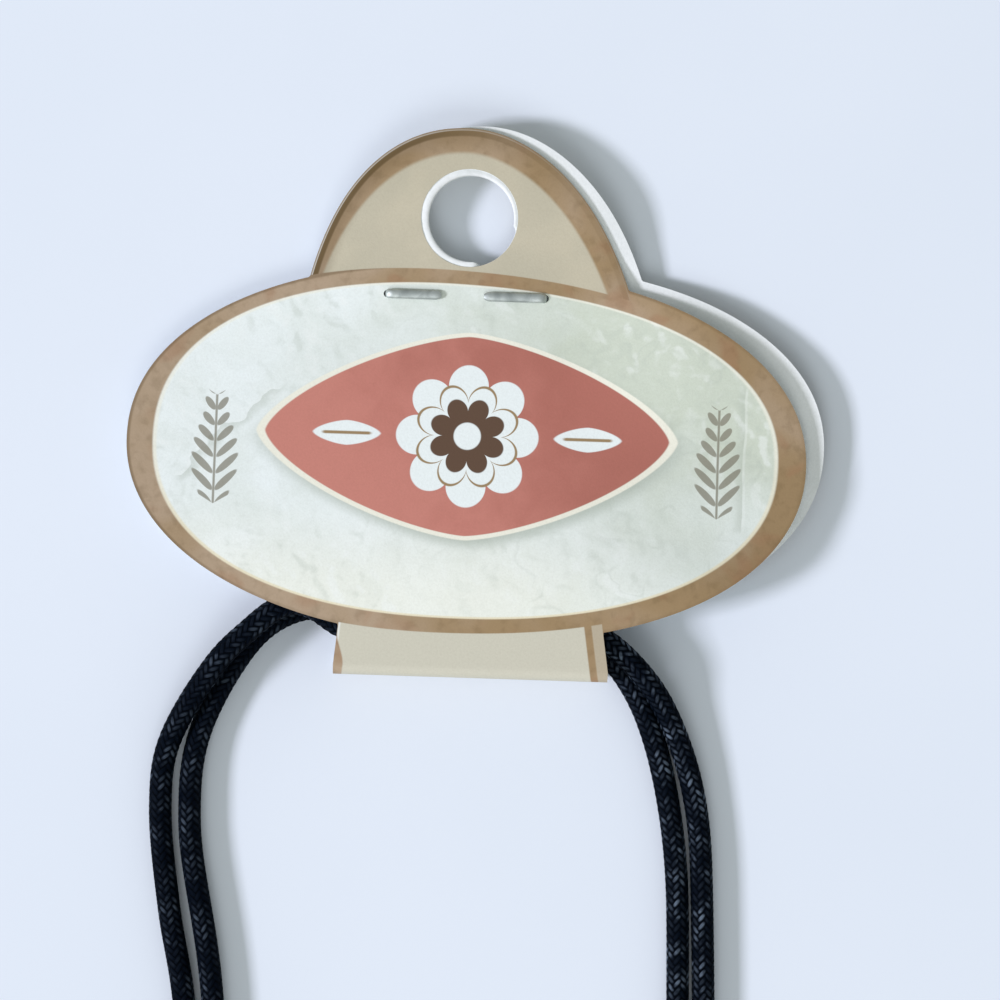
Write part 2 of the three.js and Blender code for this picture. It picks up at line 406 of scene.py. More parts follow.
@dataclass(frozen=True)
class Oval:
    """A full oval on the card: power 2 is an ellipse, and more is fuller at the corners.

    A negative lean drops its right end, a taper makes its left end fuller, and its right side may have a
    half width and a power of its own.
    """

    half_width: float
    half_height: float
    power: float = 2.0
    u: float = 0.0
    v: float = 0.0
    lean: float = 0.0
    taper: float = 0.0
    right: Span | None = None

    def level(self, u: Any, v: Any) -> Any:
        """Tells how far out a place is.

        Args:
            u, v: the place, as rows of numbers or as shader signals.

        Returns:
            1 on the outline, less inside and more outside.
        """
        across, up = u - self.u, v - self.v
        if self.lean:
            cos, sin = math.cos(self.lean), math.sin(self.lean)
            across, up = across * cos + up * sin, up * cos - across * sin
        width, power, height = self.half_width, self.power, self.half_height
        if self.right:
            painted = isinstance(across, Signal)
            side = across.sketch.math("GREATER_THAN", across, 0.0) if painted else (across > 0) * 1.0
            width = side * (self.right[0] - width) + width
            power = side * (self.right[1] - power) + power
        if self.taper:
            height = (across * (-self.taper / self.half_width) + 1.0) * height
        return ((abs(across) / width) ** power + (abs(up) / height) ** power) ** (1.0 / power)

    def depth(self, u: Signal, v: Signal) -> Signal:
        """Gives how many millimetres inside the outline a place is, on the way from the oval's middle."""
        reach = ((u - self.u) ** 2.0 + (v - self.v) ** 2.0) ** 0.5
        return reach / self.level(u, v) - reach

    def moved(self, u: float, v: float) -> "Oval":
        """Gives this oval in another place."""
        return replace(self, u=self.u + u, v=self.v + v)


@dataclass(frozen=True)
class Strip:
    """The fold strip under the oval: its ends slant a little outwards down to the fold."""

    top_v: float = -13.8
    foot_v: float = -17.4
    top_left: float = -9.45
    top_right: float = 10.95
    foot_left: float = -9.8
    foot_right: float = 11.5

    def ends(self, v: Any) -> tuple[Any, Any]:
        """Finds the strip's two ends.

        Args:
            v: the height on the card, as a number or a shader signal.

        Returns:
            The left and the right end there.
        """
        down = (v - self.top_v) * (1 / (self.foot_v - self.top_v))
        left = down * (self.foot_left - self.top_left) + self.top_left
        return left, down * (self.foot_right - self.top_right) + self.top_right


@dataclass(frozen=True)
class PrintBed:
    """What the parts of the card's print share: the tree, the card, the places on it and two inks."""

    sketch: Sketch
    card: "HangCard"
    place: Signal
    u: Signal
    v: Signal
    along: Signal
    beige: Signal
    brown: Signal


@dataclass(frozen=True)
class Ornament:
    """The plain printed motif on the oval: a lozenge with a rosette, two leaves and a sprig at each end."""

    panel: Oval = Oval(15.6, 7.7, power=1.45, v=1.2)
    rim: float = 0.05
    rim_soft: float = 0.007
    panel_soft: float = 0.006
    shadow_shift: Span = (0.25, -0.45)
    rosette: float = 5.5
    heart: float = 3.0
    heart_line: float = 1.05
    eye: float = 1.05
    petals: int = 8
    petal_notch: float = 0.3
    heart_notch: float = 0.36
    scallop: float = 0.6
    leaf: Oval = Oval(2.6, 0.95, power=1.5, u=9.3)
    sprig_u: float = 19.4
    sprig_v: float = -0.4
    sprig_half: float = 4.2
    leaflet_gap: float = 1.25
    leaflet_reach: float = 0.95
    leaflet_half: Span = (0.86, 0.3)
    leaflet_slant: float = 0.85
    soft: float = 0.06

    def panel_masks(self, bed: PrintBed) -> tuple[Signal, Signal, Signal]:
        """Draws the lozenge.

        Args:
            bed: what the print is painted with.

        Returns:
            Where its soft shadow, its pale rim and its red field are.
        """
        sketch, level = bed.sketch, self.panel.level(bed.u, bed.v)
        shadow = sketch.ramp(self.panel.moved(*self.shadow_shift).level(bed.u, bed.v), 1.13, 0.97)
        rim = sketch.inside(level, 1.0 + self.rim - self.rim_soft, self.rim_soft)
        return shadow, rim, sketch.inside(level, 1.0, self.panel_soft)

    def flower_masks(self, bed: PrintBed) -> tuple[Signal, Signal, Signal, Signal]:
        """Draws the rosette.

        Args:
            bed: what the print is painted with.

        Returns:
            Where the petals, the line round the heart, the heart and the eye are.
        """
        sketch, u, up = bed.sketch, bed.u, bed.v - self.panel.v
        reach = (u * u + up * up) ** 0.5
        turn = sketch.math("ARCTAN2", up, u) * (self.petals / 2)
        scallops = []
        for wave, notch in (("COSINE", self.petal_notch), ("SINE", self.heart_notch)):
            scallops.append(reach / (abs(sketch.math(wave, turn)) ** self.scallop * notch + (1.0 - notch)))
        petal, inner = scallops
        line = sketch.ramp(abs(inner - self.heart - self.heart_line), 0.15, 0.06)
        return (sketch.inside(petal, self.rosette, self.soft), line,
                sketch.inside(inner, self.heart, self.soft), sketch.inside(reach, self.eye, self.soft))

    def leaf_masks(self, bed: PrintBed) -> tuple[Signal, Signal]:
        """Draws the two pale leaves.

        Args:
            bed: what the print is painted with.

        Returns:
            Where the leaves and their ribs are.
        """
        sketch, up = bed.sketch, bed.v - self.panel.v
        leaf = self.leaf.level(abs(bed.u), up)
        rib = sketch.ramp(abs(up), 0.17, 0.07) * sketch.ramp(leaf, 0.8, 0.65)
        return sketch.ramp(leaf, 1.05, 0.96), rib

    def sprig_mask(self, bed: PrintBed) -> Signal:
        """Draws the two upright sprigs: a stem with slanted leaflets on both sides.

        Args:
            bed: what the print is painted with.

        Returns:
            Where the sprigs are.
        """
        sketch = bed.sketch
        out = abs(abs(bed.u) - self.sprig_u)
        up = bed.v - self.sprig_v
        size = 1.0 - sketch.ramp(abs(up + 0.6), 0.5, self.sprig_half) * 0.5
        step = sketch.math("FRACT", (up - out * self.leaflet_slant) / self.leaflet_gap + 20.0) - 0.5
        half_out, half_step = self.leaflet_half
        leaflet = ((out / size - self.leaflet_reach) / half_out) ** 2 + (step / half_step) ** 2
        within = sketch.inside(abs(up - out * 0.6), self.sprig_half, 0.05)
        stem = sketch.ramp(out, 0.13, 0.05)
        return sketch.math("MAXIMUM", sketch.ramp(leaflet, 1.15, 0.8), stem) * within


@dataclass(frozen=True)
class BoardPrint:
    """The printed face of the card: parchment field, brown borders, beige dome and strip."""

    cream: Colour = shade(243, 250, 249)
    cream_grey: Colour = shade(208, 216, 200)
    cream_warm: Colour = shade(248, 247, 230)
    # vein_and_shade: the colour of the printed veins and of the printed lozenge's drop shadow, and also of
    # the painted shade beside the creases and on the shaded side of each rise
    vein_and_shade: Colour = shade(184, 193, 181)
    # lit: the colour of the painted highlights beside the creases and on the lit side of each rise
    lit: Colour = shade(248, 252, 249)
    brown: Colour = shade(160, 134, 98)
    # brown_pale: the border's paler tone, which also stands for painted light at its left end
    brown_pale: Colour = shade(179, 157, 132)
    brown_dark: Colour = shade(98, 77, 43)
    brown_red: Colour = shade(158, 114, 82)
    beige: Colour = shade(199, 191, 168)
    beige_grey: Colour = shade(187, 181, 160)
    strip_beige: Colour = shade(210, 207, 190)
    white_core: Colour = shade(238, 240, 236)
    pale_line: Colour = shade(246, 244, 228)
    gold: Colour = shade(232, 212, 160)
    red: Colour = shade(206, 134, 121)
    red_deep: Colour = shade(182, 112, 99)
    ink: Colour = shade(98, 74, 58)
    sprig_ink: Colour = shade(132, 127, 110)
    grain: float = 0.16
    roughness: float = 0.5
    specular: float = 0.35
    fibre_depth: float = 0.012
    relief_per_mm: float = 0.42
    crinkle_per_mm: float = 1.1
    relief_light: tuple[float, float, float] = (0.42, 0.26, 0.0)
    field: Oval = Oval(24.07, 12.84, power=2.245, u=-0.08, v=0.05, lean=-0.0267, taper=0.04)
    border: Oval = Oval(26.3, 13.95, power=2.2, lean=-0.0276, taper=0.065)
    dome_field: Oval = Oval(12.34, 19.03, power=2.04, u=-0.77, v=4.0, right=(12.94, 1.83))
    ornament: Ornament = Ornament()

    def _parchment(self, bed: PrintBed) -> Signal:
        """Paints the oval's parchment.

        Args:
            bed: what the print is painted with.

        Returns:
            The parchment's colour: clouds, a grey right end, a warm foot, and two creases and a shallow
            relief in painted light and shade.
        """
        sketch, u, v = bed.sketch, bed.u, bed.v
        cloud = sketch.ramp(sketch.noise(bed.place, 0.14, 3.0, 0.6), 0.34, 0.66)
        greyer = sketch.ramp(u, -16.0, 20.0) * (sketch.ramp(v, -9.0, 9.0) * 0.8 + 0.32)
        colour = sketch.mix(cloud * 0.25 + greyer, self.cream, self.cream_grey)
        warmer = sketch.ramp(v, -3.0, -12.0) * sketch.ramp(u, 22.0, 2.0)
        colour = sketch.mix(warmer * 0.5, colour, self.cream_warm)
        return self._pressed(bed, self._creased(bed, colour))

    def _creased(self, bed: PrintBed, colour: Signal) -> Signal:
        """Paints two long creases onto the parchment, each with a painted shaded side and a painted lit side.

        Args:
            bed: what the print is painted with.
            colour: the parchment without them.

        Returns:
            The colour with a wavy crease at the left end and a straight one at the right end.
        """
        sketch, u, v = bed.sketch, bed.u, bed.v
        sway = sketch.noise(bed.place, 0.3, 2.0) - 0.5
        wavy = (v - u * 0.86 - 17.2 + sway * 5.0) * 0.75
        straight = u - 21.3 + sway * 0.6
        at_left, at_right = sketch.ramp(abs(u + 18.4), 4.4, 3.4), sketch.ramp(abs(v), 6.0, 5.0)
        for fold, across in ((wavy, at_left), (straight, at_right)):
            # Painted shade on one side of each crease, then a painted highlight beside it
            shaded = sketch.ramp(fold, -0.9, -0.02) * sketch.ramp(fold, 0.06, 0.0)
            colour = sketch.mix(shaded * across * 0.42, colour, self.vein_and_shade)
            lit = sketch.ramp(abs(fold - 0.14), 0.16, 0.04)
            colour = sketch.mix(lit * across * 0.25, colour, self.lit)
        return colour

    def _pressed(self, bed: PrintBed, colour: Signal) -> Signal:
        """Paints a shallow relief onto the parchment, as a painted highlight on one side of each rise and
        painted shade on the other.

        Args:
            bed: what the print is painted with.
            colour: the parchment without it.

        Returns:
            The colour with painted lit and shaded slopes and thin broken veins.
        """
        sketch, place = bed.sketch, bed.place
        beside = sketch.out(sketch.node("ShaderNodeMapping", Vector=place, Location=self.relief_light))
        slopes = []
        for per_mm, warp in ((self.relief_per_mm, 0.4), (self.crinkle_per_mm, 0.5)):
            slopes.append(sketch.noise(place, per_mm, 2.0, warp) - sketch.noise(beside, per_mm, 2.0, warp))
        slope = slopes[0] + slopes[1] * 0.2
        patch = sketch.ramp(sketch.noise(place, 0.09, 2.0), 0.4, 0.62) * 0.8 + 0.2
        # Painted highlight on the slopes that face the relief's light, and painted shade on those that face
        # away
        colour = sketch.mix(sketch.ramp(slope, 0.01, 0.16) * patch * 0.42, colour, self.lit)
        colour = sketch.mix(sketch.ramp(slope, -0.01, -0.2) * patch * 0.3, colour, self.vein_and_shade)
        ridge = sketch.ramp(abs(sketch.noise(place, self.relief_per_mm, 1.5, 0.5) - 0.5), 0.06, 0.0)
        broken = sketch.ramp(sketch.noise(place, 0.3, 1.0), 0.42, 0.6)
        broken = broken * (sketch.ramp(bed.u, -14.0, 14.0) * 0.7 + 0.3)
        return sketch.mix(ridge * broken * 0.2, colour, self.vein_and_shade)

    def _motif(self, bed: PrintBed, colour: Signal) -> Signal:
        """Prints the ornament.

        Args:
            bed: what the print is painted with.
            colour: the parchment under it.

        Returns:
            The colour with the ornament's inks, one over the other.
        """
        sketch, motif = bed.sketch, self.ornament
        shadow, rim, panel = motif.panel_masks(bed)
        petals, line, heart, eye = motif.flower_masks(bed)
        leaf, rib = motif.leaf_masks(bed)
        # Painted light: the red is paler towards the lower left and deeper towards the upper right, with a
        # noisy edge between
        worn = sketch.noise(bed.place, 0.35, 4.0, 0.5) - 0.5
        deeper = sketch.ramp(bed.u + bed.v * 0.8 + worn * 22.0, -12.0, 14.0)
        red = sketch.mix(deeper, self.red, self.red_deep)
        inks = ((motif.sprig_mask(bed) * 0.8, self.sprig_ink), (shadow * 0.8, self.vein_and_shade),
                (rim, self.pale_line), (panel, red), (petals, self.cream), (line, self.brown),
                (heart, self.ink), (eye, self.cream), (leaf, self.cream), (rib, self.brown))
        for share, ink in inks:
            colour = sketch.mix(share, colour, ink)
        return colour

    def _strip(self, bed: PrintBed) -> Signal:
        """Prints the strip over the fold.

        Args:
            bed: what the print is painted with.

        Returns:
            Pale beige with a bare cut and a brown edge at the left, and a brown line at the right.
        """
        sketch, u, along = bed.sketch, bed.u, bed.along
        left, right = bed.card.strip.ends(bed.v)
        on_strip = sketch.ramp(along, 5.0, 4.5) * sketch.ramp(along, -2.7, -2.3)
        colour = sketch.mix(on_strip * 0.85, bed.beige, self.strip_beige)
        margin = sketch.ramp(u - right, -1.2, -1.0)
        colour = sketch.mix(margin * on_strip * 0.5, colour, self.brown)
        cut = sketch.ramp(u - left, 0.24, 0.12) * sketch.ramp(along, 0.7, 1.7)
        colour = sketch.mix(cut * on_strip * 0.8, colour, self.white_core)
        wider = sketch.ramp(along, 2.5, -0.1) * 0.72
        edge = sketch.ramp(u - left - wider, 0.09, -0.05)
        line = sketch.ramp(abs(u - right + 1.12), 0.34, 0.22)
        return sketch.mix(sketch.math("MAXIMUM", edge, line) * on_strip, colour, bed.brown)

    def _dome(self, bed: PrintBed, colour: Signal) -> Signal:
        """Prints the dome.

        Args:
            bed: what the print is painted with.
            colour: the beige under it.

        Returns:
            The colour with the brown border and, strongest at the left, a dark and a bare line at its edge.
        """
        sketch, u, v = bed.sketch, bed.u, bed.v
        on_dome = sketch.ramp(v, 6.0, 6.5)
        border = sketch.ramp(self.dome_field.level(u, v), 0.992, 1.012)
        colour = sketch.mix(on_dome * border, colour, bed.brown)
        depth = bed.card.dome.depth(u, v)
        side = sketch.ramp(u, 9.0, -7.0)
        dark = sketch.ramp(depth, 0.7, 0.52) * 0.6 + sketch.ramp(depth, 2.1, 0.6) * 0.4
        colour = sketch.mix(on_dome * dark * (side * 0.68 + 0.26), colour, self.brown_dark)
        core = sketch.ramp(depth, 0.2, 0.14) * (side * 0.75 + 0.1)
        return sketch.mix(on_dome * core, colour, self.white_core)

    def _oval(self, bed: PrintBed) -> Signal:
        """Prints the oval.

        Args:
            bed: what the print is painted with.

        Returns:
            Its colour: parchment, ornament, a pale line and the brown border with its dark rim.
        """
        sketch, u, v = bed.sketch, bed.u, bed.v
        face = self._motif(bed, self._parchment(bed))
        level = self.field.level(u, v)
        gold = sketch.mix(sketch.ramp(v, 2.0, -8.0) * 0.75, self.pale_line, self.gold)
        face = sketch.mix(sketch.ramp(level, 0.986, 0.997) * 0.7, face, gold)
        face = sketch.mix(sketch.ramp(level, 0.999, 1.008), face, bed.brown)
        rim = sketch.ramp(bed.card.oval.depth(u, v), 0.32, 0.12)
        upper_left = sketch.ramp(v * 1.6 - u, -14.0, 16.0)
        return sketch.mix(rim * (upper_left * 0.35 + 0.15), face, self.brown_dark)

    def _brown(self, sketch: Sketch, place: Signal, u: Signal) -> Signal:
        """Mixes the border's brown.

        Args:
            sketch: the material's sketch.
            place: the place on the sheet.
            u: the way across it.

        Returns:
            The brown, mottled and ruddy in places, with painted light that makes it paler at the left and
            painted shade that makes it darker at the right.
        """
        # Painted light makes the brown paler towards the left, over noise in its tone; painted shade makes it
        # darker at the right end, over its mottle
        tone_and_lit_left = sketch.noise(place, 0.12, 3.0, 0.5) + sketch.ramp(u, 10.0, -24.0) * 0.25
        brown = sketch.mix(sketch.ramp(tone_and_lit_left, 0.4, 0.8), self.brown, self.brown_pale)
        mottle = sketch.ramp(sketch.noise(place, 1.1, 4.0, 0.3), 0.46, 0.72)
        mottle_and_shaded_right = mottle * 0.22 + sketch.ramp(u, 16.0, 25.0) * 0.1
        brown = sketch.mix(mottle_and_shaded_right, brown, self.brown_dark)
        ruddy = sketch.ramp(sketch.noise(place, 0.28, 2.0, 0.4), 0.52, 0.68)
        return sketch.mix(ruddy * 0.38, brown, self.brown_red)

    def _past_oval(self, bed: PrintBed) -> Signal:
        """Finds what of the card lies past the oval.

        Args:
            bed: what the print is painted with.

        Returns:
            Where the dome and the strip show past the oval's border.
        """
        sketch, u, v = bed.sketch, bed.u, bed.v
        left, right = bed.card.strip.ends(v)
        in_dome = sketch.ramp(bed.card.dome.level(u, v), 1.0, 0.985) * sketch.ramp(v, 5.0, 6.0)
        in_strip = sketch.ramp(v, -9.0, -10.0)
        for way_in in (u - left, right - u):
            in_strip = in_strip * sketch.ramp(way_in, -0.02, 0.02)
        past = sketch.ramp(self.border.level(u, v), 0.998, 1.004)
        return past * sketch.math("MAXIMUM", in_dome, in_strip)

    def material(self, card: "HangCard", groups: SharedGroups) -> bpy.types.Material:
        """Makes the printed board.

        Args:
            card: the card whose outlines the print follows.
            groups: the shared node groups.

        Returns:
            The material. It reads the attribute sheet_mm: u, and the way along the sheet from the fold.
        """
        material, sketch, shader = new_material("printed_board")
        place = sketch.attribute("sheet_mm")
        u, along, _ = sketch.parts(place)
        grain = sketch.group(groups.board_fibre, Grain=self.grain)
        beige = sketch.mix(grain["Cloud"] * 0.6, self.beige, self.beige_grey)
        brown = self._brown(sketch, place, u)
        bed = PrintBed(sketch, card, place, u, along + card.bend_v, along, beige, brown)
        colour = self._dome(bed, self._strip(bed))
        colour = sketch.mix(1.0 - self._past_oval(bed), colour, self._oval(bed))
        colour = sketch.mix(grain["Fibre"] * 0.07, colour, self.brown_dark)
        sketch.feed(shader.inputs["Base Color"], colour)
        sketch.feed(shader.inputs["Roughness"], grain["Fibre"] * 0.12 + self.roughness)
        shader.inputs["Specular IOR Level"].default_value = self.specular
        set_bump(sketch, shader, grain["Height"], self.fibre_depth)
        return material


@dataclass(frozen=True)
class BareBoard:
    """The unprinted white inside and the cut edges of the card."""

    white: Colour = shade(238, 241, 241)
    grey: Colour = shade(219, 223, 222)
    grain: float = 0.2
    roughness: float = 0.78
    fibre_depth: float = 0.02

    def material(self, groups: SharedGroups) -> bpy.types.Material:
        """Makes the bare board.

        Args:
            groups: the shared node groups.

        Returns:
            The material.
        """
        material, sketch, shader = new_material("bare_board")
        grain = sketch.group(groups.board_fibre, Grain=self.grain)
        greyer = grain["Cloud"] * 0.5 + grain["Fibre"] * 0.3
        sketch.feed(shader.inputs["Base Color"], sketch.mix(greyer, self.white, self.grey))
        sketch.feed(shader.inputs["Roughness"], grain["Fibre"] * 0.1 + self.roughness)
        set_bump(sketch, shader, grain["Height"], self.fibre_depth)
        return material


@dataclass(frozen=True)
class WaxedBraid:
    """The black waxed yarn of the cord, with painted grey highlights and wear on its crowns, more of them on
    its right side, and painted shade in its grooves.
    """

    yarn: Colour = shade(3, 9, 20)
    # groove: painted shade, the near-black in the grooves between the yarns
    groove: Colour = shade(1, 2, 3)
    # worn: the grey of the painted highlights on the yarns' crowns, which also stands for wear
    worn: Colour = shade(98, 111, 127)
    ply_turns: float = 3.0
    lint_per_metre: float = 9000.0
    patch_per_metre: float = 520.0
    right_ramp_x: Span = (-18.0, 10.0)
    roughness: float = 0.62
    specular: float = 0.025
    depth: float = 0.09

    def material(self, braid: TwillBraid, carriers: int) -> bpy.types.Material:
        """Makes the yarn.

        Args:
            braid: the rule that the yarns follow.
            carriers: how many yarns of one hand go round the cord.

        Returns:
            The material. It reads the attribute braid_way: the turn's cosine and sine, and the pitches along.
        """
        material, sketch, shader = new_material("waxed_braid")
        cosine, sine, along = sketch.parts(sketch.attribute("braid_way"))
        around = sketch.math("ARCTAN2", sine, cosine) * (carriers / math.tau)
        height, side, which = braid.relief(sketch, around, along)
        lot = sketch.out(sketch.node("ShaderNodeTexWhiteNoise", {"noise_dimensions": "1D"}, W=which), "Value")
        place = sketch.object_place()
        lint = sketch.noise(place, self.lint_per_metre, 3.0, 0.4)
        patch = sketch.ramp(sketch.noise(place, self.patch_per_metre, 5.0, 0.6), 0.42, 0.64)
        ply = sketch.math("SINE", side * (self.ply_turns * math.tau)) * 0.5 + 0.5
        # more_to_the_right and sheen_and_wear: painted highlights, which also stand for wear, on the yarns'
        # crowns in patches, more of them towards the right
        more_to_the_right = sketch.ramp(sketch.parts(place)[0], *(x * MM for x in self.right_ramp_x)) * 0.6 + 0.4
        sheen_and_wear = sketch.ramp(height, 0.45, 0.95) * (patch * 0.85 + 0.06) * (ply * 0.4 + 0.6)
        sheen_and_wear = sheen_and_wear * (lot ** 1.6 * 1.1 + 0.15) * more_to_the_right
        # Painted shade: the grooves are mixed towards near-black
        colour = sketch.mix(sketch.ramp(height, 0.1, 0.6), self.groove, self.yarn)
        sketch.feed(shader.inputs["Base Color"], sketch.mix(sheen_and_wear * 1.15, colour, self.worn))
        sketch.feed(shader.inputs["Roughness"], self.roughness - sheen_and_wear * 0.26 + lint * 0.08)
        shader.inputs["Specular IOR Level"].default_value = self.specular
        set_bump(sketch, shader, height * 0.7 + ply * 0.12 + lint * 0.18, self.depth)
        return material


@dataclass(frozen=True)
class SatinMetal:
    """A grey metal: cast, turned or drawn."""

    name: str
    metal: Colour
    tarnish: Colour
    roughness: float
    grain: float
    pit_depth: float

    def material(self, groups: SharedGroups) -> bpy.types.Material:
        """Makes the metal.

        Args:
            groups: the shared node groups.

        Returns:
            The material.
        """
        material, sketch, shader = new_material(self.name)
        marks = sketch.group(groups.handled_metal, Grain=self.grain)
        sketch.feed(shader.inputs["Base Color"], sketch.mix(marks["Smudge"] * 0.6, self.metal, self.tarnish))
        shader.inputs["Metallic"].default_value = 1.0
        rougher = marks["Smudge"] * 0.14 + marks["Scratch"] * 0.06
        sketch.feed(shader.inputs["Roughness"], rougher + self.roughness)
        set_bump(sketch, shader, marks["Height"], self.pit_depth)
        return material


class Metal(Enum):
    """The metals of the staple, the clasp and the cross."""

    WIRE = SatinMetal(
        "staple_wire", metal=shade(204, 211, 209), tarnish=shade(138, 146, 144), roughness=0.5, grain=0.5,
        pit_depth=0.006,
    )
    TURNED = SatinMetal(
        "turned_clasp", metal=shade(168, 170, 172), tarnish=shade(118, 120, 124), roughness=0.32, grain=0.9,
        pit_depth=0.005,
    )
    CAST = SatinMetal(
        "cast_pewter", metal=shade(176, 177, 175), tarnish=shade(112, 114, 114), roughness=0.36, grain=1.1,
        pit_depth=0.02,
    )


@dataclass(frozen=True)
class CardPlace:
    """Where the card's own millimetres are in the part's frame."""

    middle_x: float
    middle_y: float

    @classmethod
    def from_frame(cls, clasp: "CordClasp") -> "CardPlace":
        """Finds the oval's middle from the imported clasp, whose place on the card is known."""
        low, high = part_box("cord_clasp")
        return cls((low.x + high.x) / 2 - clasp.u * MM, (low.y + high.y) / 2 - clasp.v * MM)

    def points(self, card_points: np.ndarray) -> np.ndarray:
        """Turns rows of u, v and height in millimetres into metres in the frame."""
        return np.asarray(card_points, float) * MM + np.array([self.middle_x, self.middle_y, 0.0])

    def point(self, u: float, v: float, height: float) -> Vector:
        """Turns one place on the card into the frame's metres."""
        return Vector(self.points(np.array([[u, v, height]]))[0])


def new_piece(name: str, mesh: bpy.types.Mesh, *materials: bpy.types.Material) -> bpy.types.Object:
    """Makes a finished piece of a mesh that is already in its place.

    Args:
        name: the piece's name.
        mesh: its mesh, in the frame's metres.
        materials: its materials, in slot order.

    Returns:
        The object, in the scene.
    """
    mesh.name = name
    for material in materials:
        if material.name not in mesh.materials:
            mesh.materials.append(material)
    piece = bpy.data.objects.new(name, mesh)
    bpy.context.scene.collection.objects.link(piece)
    return piece


def settle(piece: bpy.types.Object, node: str) -> bpy.types.Object:
    """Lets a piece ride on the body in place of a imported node.

    Args:
        piece: the piece.
        node: the node that it stands for.

    Returns:
        The piece.
    """
    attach(piece, BODY)
    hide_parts(node)
    LOG.info("%s stands for %s with %d faces", piece.name, node, len(piece.data.polygons))
    return piece


def evaluated(host: bpy.types.Object) -> bpy.types.Mesh:
    """Gives an object's mesh with its modifiers as a plain mesh."""
    graph = bpy.context.evaluated_depsgraph_get()
    return bpy.data.meshes.new_from_object(host.evaluated_get(graph))


def smooth_sides(mesh: bpy.types.Mesh, sharp_degrees: float) -> None:
    """Shades a mesh smooth, apart from edges that turn by more than an angle."""
    mesh.polygons.foreach_set("use_smooth", np.ones(len(mesh.polygons), bool))
    mesh.set_sharp_from_angle(angle=math.radians(sharp_degrees))


def put_at(mesh: bpy.types.Mesh, spot: Vector) -> bpy.types.Mesh:
    """Moves a mesh from the origin to a spot.

    Args:
        mesh: the mesh.
        spot: its new place.

    Returns:
        The same mesh.
    """
    for vertex in mesh.vertices:
        vertex.co += spot
    return mesh


